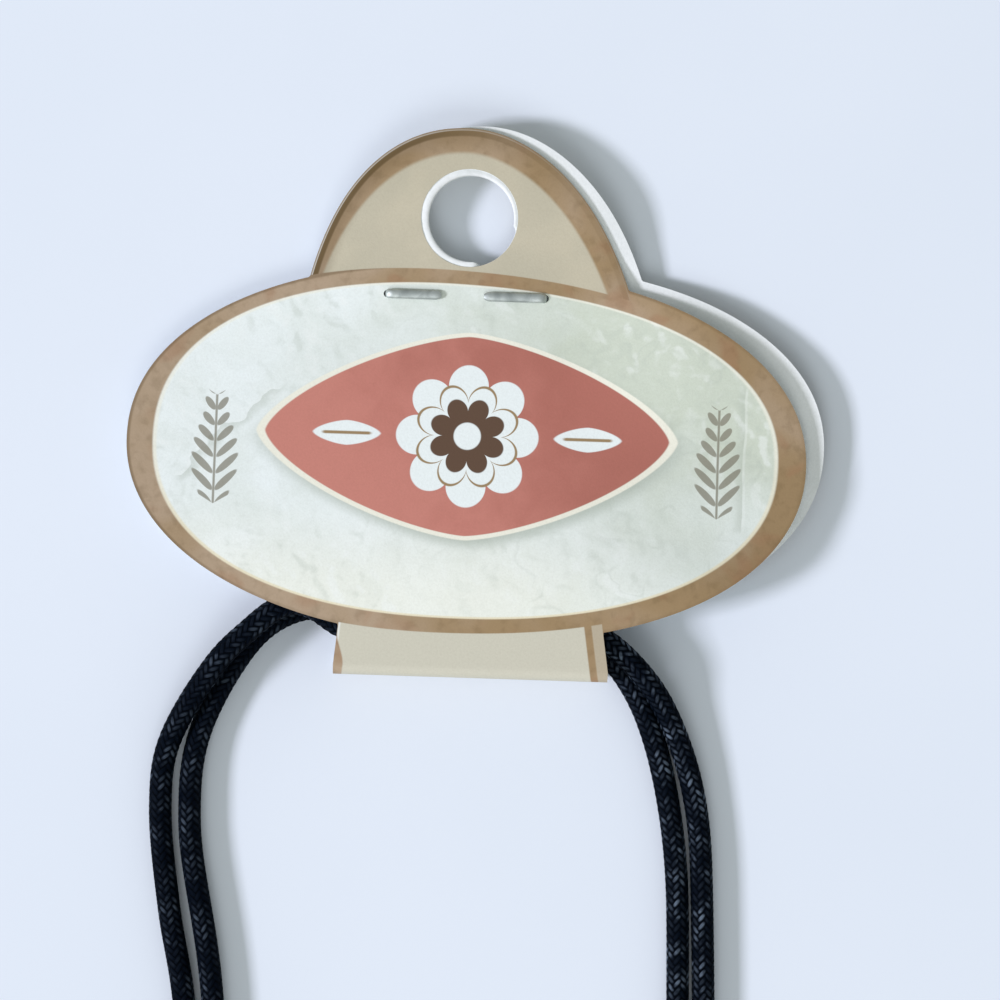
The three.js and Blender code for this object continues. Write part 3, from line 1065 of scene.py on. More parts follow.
@dataclass
class HangCard:
    """One board folded under the oval: front panel with its dome, fold strip and back panel."""

    board: float = 0.3
    oval: Oval = Oval(26.25, 14.5, power=2.11, lean=-0.025)
    dome: Oval = Oval(12.94, 20.95, power=2.2, u=-0.65, v=4.0, right=(14.28, 1.92))
    strip: Strip = Strip()
    bend_radius: float = 0.8

    # The back panel lies askew behind the front one
    back_shift: Span = (1.4, 0.25)
    back_skew: float = 0.04
    back_dome_shift: float = -0.35

    # The hang hole, with the back panel's lip torn away at one side. The rows of lip_section are shares of
    # the way out and up, and those of lip_waves are the depth, number and shift of its ragged waves
    hole: Oval = Oval(3.75, 3.75, u=-0.37, v=18.07)
    back_hole: Oval = Oval(3.3, 3.3, u=-0.22, v=18.03)
    torn_turn: float = -0.8
    torn_half: float = 0.66
    torn_reach: float = 0.5
    torn_soft: float = 0.09
    torn_drop: float = 0.9
    lip_sides: int = 96
    lip_least: float = 0.06
    lip_seat: float = 0.03
    lip_rise: float = 0.02
    lip_waves: tuple[tuple[float, int, float], ...] = ((0.1, 3, 1.0), (0.05, 13, 0.0))
    lip_section: tuple[Span, ...] = (
        (0.0, 0.0), (0.0, 0.75), (0.12, 0.95), (0.4, 1.0), (0.75, 0.97), (0.98, 0.85), (0.98, 0.0),
    )

    # The staple's holes
    staple_u: float = -0.44
    staple_v: float = 12.07
    leg_reach: float = 6.1
    leg_hole: float = 0.3

    # Heights of both panels' undersides over v, seen from the side
    front_line: tuple[Span, ...] = (
        (-17.0, 4.35), (-12.5, 4.35), (-9.0, 4.2), (-4.0, 3.45), (2.0, 2.45), (9.0, 1.36), (12.1, 1.2),
        (17.0, 1.36), (27.0, 1.8),
    )
    back_line: tuple[Span, ...] = ((-16.0, 0.03), (27.0, 0.9))
    line_ease: float = 1.6
    line_samples: int = 9
    slope_step: float = 0.2

    # How far the board springs from those heights, and where: shares of the gap, or millimetres
    front_closes: float = 0.34
    back_closes: float = 0.42
    closes_u: Span = (4.0, 25.0)
    closes_v: Span = (-12.0, -5.0)
    dome_closes: float = 0.85
    dome_closes_v: Span = (12.5, 15.5)
    front_springs: float = 1.3
    back_springs: float = 0.65
    springs_u: Span = (7.0, 19.0)
    springs_v: Span = (-1.0, 9.0)
    springs_end_v: Span = (16.5, 11.5)
    dome_lift: float = 0.9
    dome_lift_v: Span = (13.5, 21.0)

    # How finely the sheet is cut
    outline_degrees: float = 0.5
    ray_reach: float = 60.0
    ray_halvings: int = 50
    foot_slack: float = 1e-6
    ring_degrees: int = 5
    weld: float = 1e-5
    fold_slices: int = 25
    slice_v: float = 0.8
    slice_u: float = 2.0
    slice_span: Span = (-26.0, 28.0)
    sharp_degrees: float = 50.0

    @property
    def bend_v(self) -> float:
        """Where the front panel starts to turn down into the fold."""
        return self.strip.foot_v + self.bend_radius

    @property
    def spine(self) -> float:
        """How tall the flat of the fold is between its two bends."""
        return self.front_line[0][1] + self.board - 2 * self.bend_radius

    @property
    def fold_length(self) -> float:
        """The sheet's length round the fold, from the front's bend to the back panel."""
        return self.spine + math.pi * self.bend_radius

    def _outline(self, dome: Oval, shift: Span, skew: float) -> np.ndarray:
        """Walks round a panel from the right foot of the strip to the left one.

        Args:
            dome: the panel's dome.
            shift: how far the oval and dome are moved, in u and v.
            skew: how far each place moves up for its way across.

        Returns:
            Rows of u and v. The panel is seen whole from the oval's middle, so a ray meets its edge once.
        """
        centre = np.array(shift)
        foot_v = self.bend_v
        left, right = self.strip.ends(foot_v)
        foot = np.arctan2([foot_v - centre[1]] * 2, [right - centre[0], left - centre[0]])
        turns = np.arange(foot[0], foot[1] + 2 * np.pi, math.radians(self.outline_degrees))
        turns = np.append(turns, foot[1] + 2 * np.pi)
        rays = np.stack([np.cos(turns), np.sin(turns)], axis=1)
        own_rays = rays - rays[:, :1] * [0.0, skew]
        low = np.zeros(len(turns))
        high = np.full(len(turns), self.ray_reach)
        for _ in range(self.ray_halvings):
            half = (low + high) / 2
            u, v = (own_rays * half[:, None]).T
            inside = (self.oval.level(u, v) < 1) | ((dome.level(u, v) < 1) & (v > dome.v))
            u, v = (centre + rays * half[:, None]).T
            ends = self.strip.ends(v)
            inside |= (v > foot_v - self.foot_slack) & (v < 0) & (u > ends[0]) & (u < ends[1])
            low = np.where(inside, half, low)
            high = np.where(inside, high, half)
        return centre + rays * low[:, None]

    def _sheet_outline(self) -> np.ndarray:
        """Joins both panels' outlines into one flat sheet.

        Returns:
            Rows of u and the way from the fold.
        """
        front = self._outline(self.dome, (0.0, 0.0), 0.0) - [0.0, self.bend_v]
        back_dome = self.dome.moved(self.back_dome_shift, 0.0)
        back = self._outline(back_dome, self.back_shift, self.back_skew)[::-1] - [0.0, self.bend_v]
        back[:, 1] = -self.fold_length - back[:, 1]
        return np.concatenate([front, back])

    def _torn(self, turns: Any) -> Any:
        """Gives where round the hang hole the back panel's lip is torn away: 1 there and 0 elsewhere."""
        within = np.cos(turns - self.torn_turn) - math.cos(self.torn_half)
        return np.clip(within / self.torn_soft, 0.0, 1.0)

    def _lip_radius(self, turns: Any) -> Any:
        """Gives the radius of the back panel's hole, which is wider where its lip is torn."""
        return self.back_hole.half_width + self.torn_reach * self._torn(turns)

    def _sheet_holes(self) -> list[np.ndarray]:
        """Rings the hang hole and the staple's holes in both panels.

        Returns:
            The rings on the flat sheet, as rows of u and the way from the fold.
        """
        turns = np.radians(np.arange(0, 360, self.ring_degrees))
        ring = np.stack([np.cos(turns), np.sin(turns)], axis=1)
        lip = ring * self._lip_radius(turns)[:, None]
        leg = ring[::4] * self.leg_hole
        legs = [(self.staple_u + side * self.leg_reach, self.staple_v, leg) for side in (-1, 1)]
        front = [(self.hole.u, self.hole.v, ring * self.hole.half_width), *legs]
        back = [(self.back_hole.u, self.back_hole.v, lip), *legs]
        holes = [points + [u, v - self.bend_v] for u, v, points in front]
        for u, v, points in back:
            holes.append((points + [u, v - self.bend_v]) * [1.0, -1.0] - [0.0, self.fold_length])
        return holes

    def _flat_sheet(self) -> bmesh.types.BMesh:
        """Cuts the flat sheet with its holes, and slices it finely enough to bend.

        Returns:
            The sheet, with its faces up.
        """
        sheet = bmesh.new()
        for ring in [self._sheet_outline(), *self._sheet_holes()]:
            corners = [sheet.verts.new((u, along, 0.0)) for u, along in ring]
            for first, second in zip(corners, corners[1:] + corners[:1]):
                sheet.edges.new((first, second))
        bmesh.ops.remove_doubles(sheet, verts=sheet.verts[:], dist=self.weld)
        bmesh.ops.triangle_fill(sheet, edges=sheet.edges[:], use_beauty=True, normal=(0, 0, 1))
        ends = [v.co.y for v in sheet.verts]
        bends = np.linspace(-self.fold_length, 0, self.fold_slices)
        panels = np.concatenate([np.arange(min(ends), -self.fold_length, self.slice_v),
                                 np.arange(self.slice_v, max(ends), self.slice_v)])
        for along in np.concatenate([bends, panels]):
            self._slice(sheet, (0, along, 0), (0, 1, 0))
        for u in np.arange(*self.slice_span, self.slice_u):
            self._slice(sheet, (u, 0, 0), (1, 0, 0))
        bmesh.ops.triangulate(sheet, faces=[f for f in sheet.faces if len(f.verts) > 4])
        for face in sheet.faces:
            if face.normal.z < 0:
                face.normal_flip()
        return sheet

    def _slice(self, sheet: bmesh.types.BMesh, place: Sequence[float], normal: Sequence[float]) -> None:
        """Cuts the sheet along a line without removing anything."""
        everything = sheet.verts[:] + sheet.edges[:] + sheet.faces[:]
        bmesh.ops.bisect_plane(sheet, geom=everything, dist=self.weld, plane_co=place, plane_no=normal)

    def _side_view(self, along: np.ndarray) -> tuple[np.ndarray, np.ndarray]:
        """Bends the sheet in side view.

        Args:
            along: the way along the sheet from the front's bend, in millimetres.

        Returns:
            The outer face's v and height, and its outward normal, as rows.
        """
        radius, spine = self.bend_radius, self.spine
        quarter = math.pi * radius / 2
        top = spine + 2 * radius
        place = np.zeros((len(along), 2))
        normal = np.zeros((len(along), 2))
        for index, way in enumerate(along):
            past = -way
            if past <= 0:
                v = self.bend_v + way
                place[index] = v, self._eased(self.front_line, v) + self.board
                normal[index] = -self._slope(self.front_line, v), 1.0
            elif past < quarter:
                turn = math.pi / 2 + past / radius
                place[index] = self.bend_v + radius * math.cos(turn), top - radius + radius * math.sin(turn)
                normal[index] = math.cos(turn), math.sin(turn)
            elif past < quarter + spine:
                place[index] = self.strip.foot_v, top - radius - (past - quarter)
                normal[index] = -1.0, 0.0
            elif past < 2 * quarter + spine:
                turn = math.pi + (past - quarter - spine) / radius
                place[index] = self.bend_v + radius * math.cos(turn), radius + radius * math.sin(turn)
                normal[index] = math.cos(turn), math.sin(turn)
            else:
                v = self.bend_v + past - self.fold_length
                place[index] = v, max(0.0, self._eased(self.back_line, v))
                normal[index] = self._slope(self.back_line, v), -1.0
        return place, normal / np.linalg.norm(normal, axis=1)[:, None]

    def _eased(self, line: Sequence[Span], v: float) -> float:
        """Reads a side line's mean height over line_ease on both sides of v, which rounds its corners."""
        around = v + np.linspace(-self.line_ease, self.line_ease, self.line_samples)
        return float(np.interp(around, *np.array(line).T).mean())

    def _slope(self, line: Sequence[Span], v: float) -> float:
        """Gives how steeply a side line rises at v."""
        step = self.slope_step
        return (self._eased(line, v + step) - self._eased(line, v - step)) / (2 * step)

    def _bow(self, u: np.ndarray, along: np.ndarray) -> np.ndarray:
        """Works out how far the board springs from its side lines.

        Args:
            u, along: places on the flat sheet.

        Returns:
            The rise there: the oval's right end closes, its upper right lifts beside the staple, and the dome
            closes and lifts.
        """
        front = along > -self.fold_length / 2
        v = self.bend_v + np.where(front, along, -self.fold_length - along)
        upper, lower = (np.interp(v, *np.array(line).T) for line in (self.front_line, self.back_line))
        gap = np.maximum(upper - lower - self.board, 0.0)
        right = ease(u, *self.closes_u) * ease(v, *self.closes_v)
        back = np.maximum(self.back_closes * right, self.dome_closes * ease(v, *self.dome_closes_v))
        closing = np.where(front, -self.front_closes * right, back) * gap
        beside = ease(u, *self.springs_u) * ease(v, *self.springs_v) * ease(v, *self.springs_end_v)
        springing = np.where(front, self.front_springs, self.back_springs) * beside
        return closing + springing + self.dome_lift * ease(v, *self.dome_lift_v)

    def _height(self, u: float, v: float, back: bool) -> float:
        """Finds the height of a panel's face that looks up.

        Args:
            u, v: the place on the card.
            back: whether it is the back panel's white inside, and not the front's print.

        Returns:
            The height over the surface.
        """
        along = -self.fold_length - (v - self.bend_v) if back else v - self.bend_v
        bow = float(self._bow(np.array([u]), np.array([along]))[0])
        return self._eased(self.back_line if back else self.front_line, v) + self.board + bow

    def _lip(self, start: int) -> tuple[np.ndarray, list[list[int]]]:
        """Raises the back panel's punched white lip inside the front panel's hang hole.

        Args:
            start: the index of the lip's first point in the card's mesh.

        Returns:
            The lip's points and faces.
        """
        points = []
        for turn in np.arange(self.lip_sides) * math.tau / self.lip_sides:
            arm = np.array([math.cos(turn), math.sin(turn)])
            outer = np.array([self.hole.u, self.hole.v]) + arm * (self.hole.half_width + self.lip_seat)
            inner = np.array([self.back_hole.u, self.back_hole.v]) + arm * float(self._lip_radius(turn))
            if (outer - inner) @ arm < self.lip_least:
                inner = outer - arm * self.lip_least
            worn = sum(depth * math.sin(waves * turn + shift) ** 2 for depth, waves, shift in self.lip_waves)
            ragged = (1.0 - worn) * (1.0 - self.torn_drop * float(self._torn(turn)))
            for way_out, way_up in self.lip_section:
                u, v = inner + (outer - inner) * way_out
                low = self._height(u, v, True) - self.lip_seat
                high = self._height(u, v, False) + self.lip_rise
                points.append((u, v, low + (high - low) * way_up * ragged))
        step = len(self.lip_section)
        faces = []
        for i in range(self.lip_sides):
            here, there = start + i * step, start + (i + 1) % self.lip_sides * step
            for j in range(step):
                k = (j + 1) % step
                faces.append([here + j, there + j, there + k, here + k])
        return np.array(points), faces

    def _cut_sheet(self) -> tuple[np.ndarray, list[list[int]], list[tuple[int, int]]]:
        """Cuts the flat sheet and lists what it is made of.

        Returns:
            Its points as rows of u and the way along, its faces, and the edges of its rims in face order.
        """
        sheet = self._flat_sheet()
        sheet.verts.index_update()
        flat = np.array([v.co.xy for v in sheet.verts])
        faces = [[v.index for v in face.verts] for face in sheet.faces]
        rim = []
        for edge in sheet.edges:
            if len(edge.link_faces) == 1:
                loop = next(c for c in edge.link_faces[0].loops if c.edge == edge)
                rim.append((loop.vert.index, loop.link_loop_next.vert.index))
        sheet.free()
        return flat, faces, rim

    def build(
        self, place: CardPlace, printed: bpy.types.Material, bare: bpy.types.Material
    ) -> bpy.types.Object:
        """Builds the bent card as one closed sheet.

        Args:
            place: where the card is.
            printed: the finish of its outer face.
            bare: the finish of its inner face and cut edges.

        Returns:
            The card, with the attribute sheet_mm for its print.
        """
        flat, faces, rim = self._cut_sheet()
        count = len(flat)
        outside, normal = self._side_view(flat[:, 1])
        bow = self._bow(flat[:, 0], flat[:, 1])
        walls = []
        for side in (outside, outside - normal * self.board):
            walls.append(np.column_stack([flat[:, 0], side[:, 0], side[:, 1] + bow]))
        lip, lip_faces = self._lip(2 * count)
        turned = [[i + count for i in reversed(face)] for face in faces]
        edges = [[second, first, first + count, second + count] for first, second in rim]
        bare_faces = turned + edges + lip_faces
        points = place.points(np.concatenate([*walls, lip]))
        mesh = bpy.data.meshes.new("hang_card")
        mesh.from_pydata(points.tolist(), [], faces + bare_faces)
        slots = np.array([0] * len(faces) + [1] * len(bare_faces), np.int32)
        mesh.polygons.foreach_set("material_index", slots)
        sheet_way = np.zeros((len(points), 3))
        sheet_way[: 2 * count, :2] = np.tile(flat, (2, 1))
        way = mesh.attributes.new("sheet_mm", "FLOAT_VECTOR", "POINT")
        way.data.foreach_set("vector", sheet_way.ravel())
        smooth_sides(mesh, self.sharp_degrees)
        mesh.validate()
        return settle(new_piece("folded_card", mesh, printed, bare), "hang_card")


def smooth_route(points: Sequence[Sequence[float]], per_span: int) -> np.ndarray:
    """Runs one smooth line through points, as a centripetal spline does.

    Args:
        points: the route.
        per_span: how many steps each stretch between two points gets.

    Returns:
        Rows of places along the line.
    """
    given = np.array(points, float)
    padded = np.concatenate([[2 * given[0] - given[1]], given, [2 * given[-1] - given[-2]]])
    rows = []
    for before, start, end, after in zip(padded, padded[1:], padded[2:], padded[3:]):
        pairs = ((before, start), (start, end), (end, after))
        a, b, c = (np.linalg.norm(second - first) ** 0.5 for first, second in pairs)
        leave = ((start - before) / a - (end - before) / (a + b) + (end - start) / b) * b
        arrive = ((end - start) / b - (after - start) / (b + c) + (after - end) / c) * b
        square = -3 * start + 3 * end - 2 * leave - arrive
        cube = 2 * start - 2 * end + leave + arrive
        for t in np.arange(per_span) / per_span:
            rows.append(start + leave * t + square * t**2 + cube * t**3)
    return np.array(rows + [given[-1]])


def rounded_way(corners: Sequence[Sequence[float]], radius: float, steps: int) -> np.ndarray:
    """Rounds the corners of a bent line.

    Args:
        corners: its ends and corners.
        radius: how far from each corner the bend starts.
        steps: how many steps each bend gets.

    Returns:
        Rows of places along the line.
    """
    places = np.array(corners, float)
    rows = [places[0]]
    for before, corner, after in zip(places, places[1:], places[2:]):
        start = corner + (before - corner) / np.linalg.norm(before - corner) * radius
        end = corner + (after - corner) / np.linalg.norm(after - corner) * radius
        for t in np.linspace(0, 1, steps + 1):
            rows.append((1 - t) ** 2 * start + 2 * t * (1 - t) * corner + t**2 * end)
    return np.array(rows + [places[-1]])


class LaidBar:
    """The Geometry Nodes tree that lays a round bar along a line, plain or with a braid's relief."""

    SWAY_PER_METRE = 260.0
    SWAY_PITCHES = 0.5
    TIP_ROUNDING = 0.75
    MEAN_RELIEF = 0.6
    LEAST_SHARE = 1e-6
    LEAST_TAPER = 1e-7

    def __init__(self, braid: TwillBraid) -> None:
        """Builds the tree once.

        Args:
            braid: the rule of its relief.
        """
        number, count, geometry = GroupSocket.NUMBER, GroupSocket.COUNT, GroupSocket.GEOMETRY
        inputs = {
            "Line": geometry, "Width": number, "Height": number, "Sides": count, "Step": number,
            "Carriers": count, "Pitch": number, "Relief": number, "Taper": number,
            "Finish": GroupSocket.MATERIAL,
        }
        sketch, asked, put = new_group("Laid bar", TreeKind.GEOMETRY, inputs, {"Bar": geometry})
        self.tree = sketch.tree
        bar, along, turn = self._bar(sketch, asked)
        raised = self._raised(sketch, asked, braid, bar, along, turn)
        smooth = sketch.out(sketch.node("GeometryNodeSetShadeSmooth", Geometry=raised))
        real = sketch.out(sketch.node("GeometryNodeRealizeInstances", Geometry=smooth))
        dressed = sketch.node("GeometryNodeSetMaterial", Geometry=real, Material=asked["Finish"])
        sketch.feed(put.inputs["Bar"], sketch.out(dressed))

    def _bar(self, sketch: Sketch, asked: dict[str, Signal]) -> tuple[Signal, Signal, Signal]:
        """Sweeps the section along the line, with blunt tips.

        Args:
            sketch: the tree's sketch.
            asked: the tree's inputs.

        Returns:
            The bar, and for each of its points the way along it and the share of a turn round it.
        """
        line = sketch.out(sketch.node("GeometryNodeMeshToCurve", Mesh=asked["Line"]))
        fine = sketch.node("GeometryNodeResampleCurve", {"mode": "LENGTH"}, Curve=line, Length=asked["Step"])
        upright = sketch.out(sketch.node("GeometryNodeSetCurveNormal", Curve=sketch.out(fine)))
        spline = sketch.node("GeometryNodeSplineParameter")
        way_in, share = sketch.out(spline, "Length"), sketch.out(spline, "Factor")
        from_end = sketch.math("MINIMUM", way_in, way_in / (share + self.LEAST_SHARE) * (1.0 - share))
        full = sketch.math("MINIMUM", from_end / (asked["Taper"] + self.LEAST_TAPER), 1.0)
        blunt = (1.0 - (1.0 - full) ** 2.0 * self.TIP_ROUNDING) ** 0.5
        laid, along = self._captured(sketch, upright, "along", way_in)
        circle = sketch.node("GeometryNodeCurvePrimitiveCircle", Resolution=asked["Sides"], Radius=0.5)
        ring, turn = self._captured(sketch, sketch.out(circle), "around", share)
        scale = sketch.node("ShaderNodeCombineXYZ", X=asked["Width"], Y=asked["Height"], Z=1.0)
        section = sketch.node("GeometryNodeTransform", Geometry=ring, Scale=sketch.out(scale))
        bar = sketch.node("GeometryNodeCurveToMesh", Curve=laid, Profile_Curve=sketch.out(section),
                          Scale=blunt, Fill_Caps=True)
        return sketch.out(bar), along, turn

    def _raised(
        self, sketch: Sketch, asked: dict[str, Signal], braid: TwillBraid, bar: Signal, along: Signal,
        turn: Signal,
    ) -> Signal:
        """Raises the braid's relief on the bar, and keeps its way for the yarn's finish.

        Args:
            sketch: the tree's sketch.
            asked: the tree's inputs.
            braid: the rule of the relief.
            bar: the plain bar.
            along, turn: its points' way along it and share of a turn round it.

        Returns:
            The raised bar, with the attribute braid_way.
        """
        position = sketch.out(sketch.node("GeometryNodeInputPosition"))
        sway = sketch.noise(position, self.SWAY_PER_METRE, 1.0) * self.SWAY_PITCHES
        pitches = along / asked["Pitch"] + sway
        height, _, _ = braid.relief(sketch, turn * asked["Carriers"], pitches)
        cosine, sine = (sketch.math(wave, turn * math.tau) for wave in ("COSINE", "SINE"))
        way = sketch.out(sketch.node("ShaderNodeCombineXYZ", X=cosine, Y=sine, Z=pitches))
        kept = sketch.node(
            "GeometryNodeStoreNamedAttribute", {"data_type": "FLOAT_VECTOR", "domain": "POINT"},
            Geometry=bar, Name="braid_way", Value=way,
        )
        outward = sketch.node("ShaderNodeVectorMath", {"operation": "SCALE"})
        sketch.feed(outward.inputs[0], sketch.out(sketch.node("GeometryNodeInputNormal")))
        sketch.feed(outward.inputs["Scale"], (height - self.MEAN_RELIEF) * asked["Relief"])
        moved = sketch.node("GeometryNodeSetPosition", Geometry=sketch.out(kept), Offset=sketch.out(outward))
        return sketch.out(moved)

    @staticmethod
    def _captured(sketch: Sketch, curve: Signal, name: str, value: Signal) -> tuple[Signal, Signal]:
        """Keeps a curve's value for the mesh that is made along it.

        Args:
            sketch: the tree's sketch.
            curve: the curve.
            name: what the value is called.
            value: the value at each of the curve's points.

        Returns:
            The curve with the value, and the value for later.
        """
        kept = sketch.node("GeometryNodeCaptureAttribute", {"domain": "POINT"}, Geometry=curve)
        kept.capture_items.new("FLOAT", name)
        sketch.feed(kept.inputs[1], value)
        return sketch.out(kept, 0), sketch.out(kept, 1)

    def lay(
        self, name: str, way: np.ndarray, finish: bpy.types.Material, **sizes: float
    ) -> bpy.types.Object:
        """Lays one bar.

        Args:
            name: the piece's name.
            way: the line that it follows, in the frame's metres.
            finish: its material.
            sizes: values for the tree's other inputs.

        Returns:
            The bar as a plain mesh piece.
        """
        line = bpy.data.meshes.new(name)
        line.from_pydata(way.tolist(), [(i, i + 1) for i in range(len(way) - 1)], [])
        host = bpy.data.objects.new(name + "_line", line)
        bpy.context.scene.collection.objects.link(host)
        modifier = host.modifiers.new("laid_bar", "NODES")
        modifier.node_group = self.tree
        settings = {**sizes, "Finish": finish}
        for item in self.tree.interface.items_tree:
            if item.name in settings:
                modifier[item.identifier] = settings[item.name]
        mesh = evaluated(host)
        host.modifiers.remove(modifier)
        bpy.data.objects.remove(host)
        return new_piece(name, mesh, finish)


@dataclass
class BraidedCord:
    """The necklace's round braided cord, wound twice through the card's fold."""

    diameter: float = 1.75
    carriers: int = 10
    pitch: float = 0.62
    sides: int = 38
    step: float = 0.166
    relief: float = 0.09
    steps_per_span: int = 24
    route: tuple[tuple[float, float, float], ...] = (
        (-2.7, -93.9, 1.8), (-5.6, -93.5, 1.66), (-9.2, -90.3, 1.1), (-12.9, -83.4, 1.35),
        (-16.4, -71.4, 2.85), (-18.8, -59.4, 2.5), (-20.65, -42.8, 0.95), (-21.95, -36.2, 0.9),
        (-22.9, -28.2, 0.9), (-22.4, -23.4, 1.3), (-18.7, -16.75, 2.8), (-16.2, -14.15, 3.25),
        (-14.7, -12.85, 3.35), (-13.75, -12.3, 3.36), (-12.7, -12.1, 3.36), (-11.65, -12.3, 3.36),
        (-10.75, -12.8, 3.36), (-9.6, -13.55, 3.36), (-8.2, -14.15, 3.36), (-5.5, -14.5, 3.36),
        (-1.0, -14.3, 3.36), (3.0, -13.65, 3.3), (8.0, -12.9, 2.85), (11.15, -14.2, 3.0),
        (13.85, -16.5, 2.6), (16.06, -19.58, 1.5), (18.35, -25.6, 0.9), (19.35, -34.0, 0.9),
        (18.7, -79.0, 0.9), (12.2, -96.0, 1.1), (0.7, -102.2, 2.2), (-10.8, -96.0, 1.1),
        (-16.2, -81.4, 0.9), (-18.4, -42.8, 0.9), (-20.6, -29.2, 0.9), (-20.0, -22.4, 0.9),
        (-16.3, -15.3, 1.2), (-14.0, -13.3, 1.4), (-11.8, -12.5, 1.48), (-8.5, -12.45, 1.48),
        (-3.0, -13.0, 1.47), (2.5, -14.2, 1.45), (7.8, -14.6, 1.45), (11.3, -15.5, 1.4),
        (13.42, -17.94, 1.05), (15.25, -21.94, 0.9), (16.9, -29.0, 0.9), (17.6, -38.0, 0.9),
        (17.0, -70.0, 0.9), (11.3, -89.0, 1.0), (7.0, -93.5, 1.66), (4.1, -93.9, 1.8),
    )

    def build(self, place: CardPlace, bar: LaidBar, finish: bpy.types.Material) -> bpy.types.Object:
        """Args:
            place: where the card is.
            bar: the tree that lays it.
            finish: the yarn.

        Returns:
            The cord.
        """
        way = place.points(smooth_route(self.route, self.steps_per_span))
        thick = self.diameter * MM
        cord = bar.lay(
            "braided_cord", way, finish, Width=thick, Height=thick, Sides=self.sides, Step=self.step * MM,
            Carriers=self.carriers, Pitch=self.pitch * MM, Relief=self.relief * MM, Taper=0.0,
        )
        settle(cord, "necklace_cord")
        return cord


@dataclass
class Staple:
    """The wire staple through the card's neck: crown underneath, legs turned in over the front."""

    width: float = 0.74
    thick: float = 0.4
    leg_rise: float = 1.78
    crown_rise: float = 0.25
    tip_gap: float = 3.3
    tip_shift: float = -0.27
    tip_dip: float = 0.05
    tip_taper: float = 0.5
    bend: float = 0.5
    bend_steps: int = 10
    sides: int = 16
    step: float = 0.06

    def build(
        self, card: HangCard, place: CardPlace, bar: LaidBar, finish: bpy.types.Material
    ) -> bpy.types.Object:
        """Bends the wire along its way through the card.

        Args:
            card: the card that it holds shut.
            place: where the card is.
            bar: the tree that lays it.
            finish: the wire's metal.

        Returns:
            The staple.
        """
        half, tip = card.leg_reach, self.tip_gap / 2
        tip_rise = self.leg_rise - self.tip_dip
        corners = [
            (self.tip_shift - tip, tip_rise), (-half, self.leg_rise), (-half, self.crown_rise),
            (half, self.crown_rise), (half, self.leg_rise), (self.tip_shift + tip, tip_rise),
        ]
        bent = [(card.staple_u + u, card.staple_v, rise) for u, rise in corners]
        way = place.points(rounded_way(bent, self.bend, self.bend_steps))
        wire = bar.lay(
            "bent_staple", way, finish, Width=self.width * MM, Height=self.thick * MM, Sides=self.sides,
            Step=self.step * MM, Carriers=1, Pitch=1.0, Relief=0.0, Taper=self.tip_taper * MM,
        )
        return settle(wire, "staple")


@dataclass(frozen=True)
class Lathe:
    """Turns profiles round the X axis."""

    segments: int = 64
    weld: float = 1e-7
    sharp_degrees: float = 35.0

    def turned(self, name: str, profile: np.ndarray) -> bpy.types.Mesh:
        """Turns a closed or axis-to-axis profile.

        Args:
            name: the mesh's name.
            profile: rows of radius and place along the axis, in millimetres.

        Returns:
            The mesh, in metres about the origin, with its faces outwards.
        """
        shape = bmesh.new()
        turns = np.linspace(0, 2 * np.pi, self.segments, endpoint=False)
        rings = []
        for radius, along in profile:
            ring = [(along * MM, radius * math.cos(t) * MM, radius * math.sin(t) * MM) for t in turns]
            rings.append([shape.verts.new(corner) for corner in ring])
        for first, second in zip(rings, rings[1:]):
            for i in range(self.segments):
                j = (i + 1) % self.segments
                shape.faces.new((first[i], first[j], second[j], second[i]))
        bmesh.ops.remove_doubles(shape, verts=shape.verts[:], dist=self.weld)
        bmesh.ops.dissolve_degenerate(shape, edges=shape.edges[:], dist=self.weld)
        bmesh.ops.recalc_face_normals(shape, faces=shape.faces[:])
        mesh = bpy.data.meshes.new(name)
        shape.to_mesh(mesh)
        shape.free()
        return mesh


@dataclass
class CordClasp:
    """The plain turned barrel that takes both ends of the cord."""

    u: float = 0.7
    v: float = -93.9
    length: float = 9.2
    radius: float = 1.8
    socket_radius: float = 1.2
    socket_depth: float = 1.6
    groove: float = 0.28
    groove_half: float = 0.45
    edge: float = 0.168
    edge_steps: int = 5

    def _profile(self) -> np.ndarray:
        """Draws the barrel from the floor of one socket to the floor of the other.

        Returns:
            Rows of radius and place along the axis.
        """
        half = self.length / 2
        floor = half - self.socket_depth
        right = [
            (self.radius - self.groove, self.groove_half), (self.radius, self.groove_half + self.groove),
            (self.radius, half), (self.socket_radius, half), (self.socket_radius, floor), (0.0, floor),
        ]
        corners = [(r, -x) for r, x in reversed(right)] + right
        return rounded_way(corners, self.edge, self.edge_steps)

    def build(self, place: CardPlace, lathe: Lathe, finish: bpy.types.Material) -> bpy.types.Object:
        """Turns the barrel and lays it in its place.

        Args:
            place: where the card is.
            lathe: what turns it.
            finish: the turned metal.

        Returns:
            The clasp.
        """
        mesh = lathe.turned("clasp_barrel", self._profile())
        put_at(mesh, place.point(self.u, self.v, self.radius))
        smooth_sides(mesh, lathe.sharp_degrees)
        return settle(new_piece("clasp_barrel", mesh, finish), "cord_clasp")


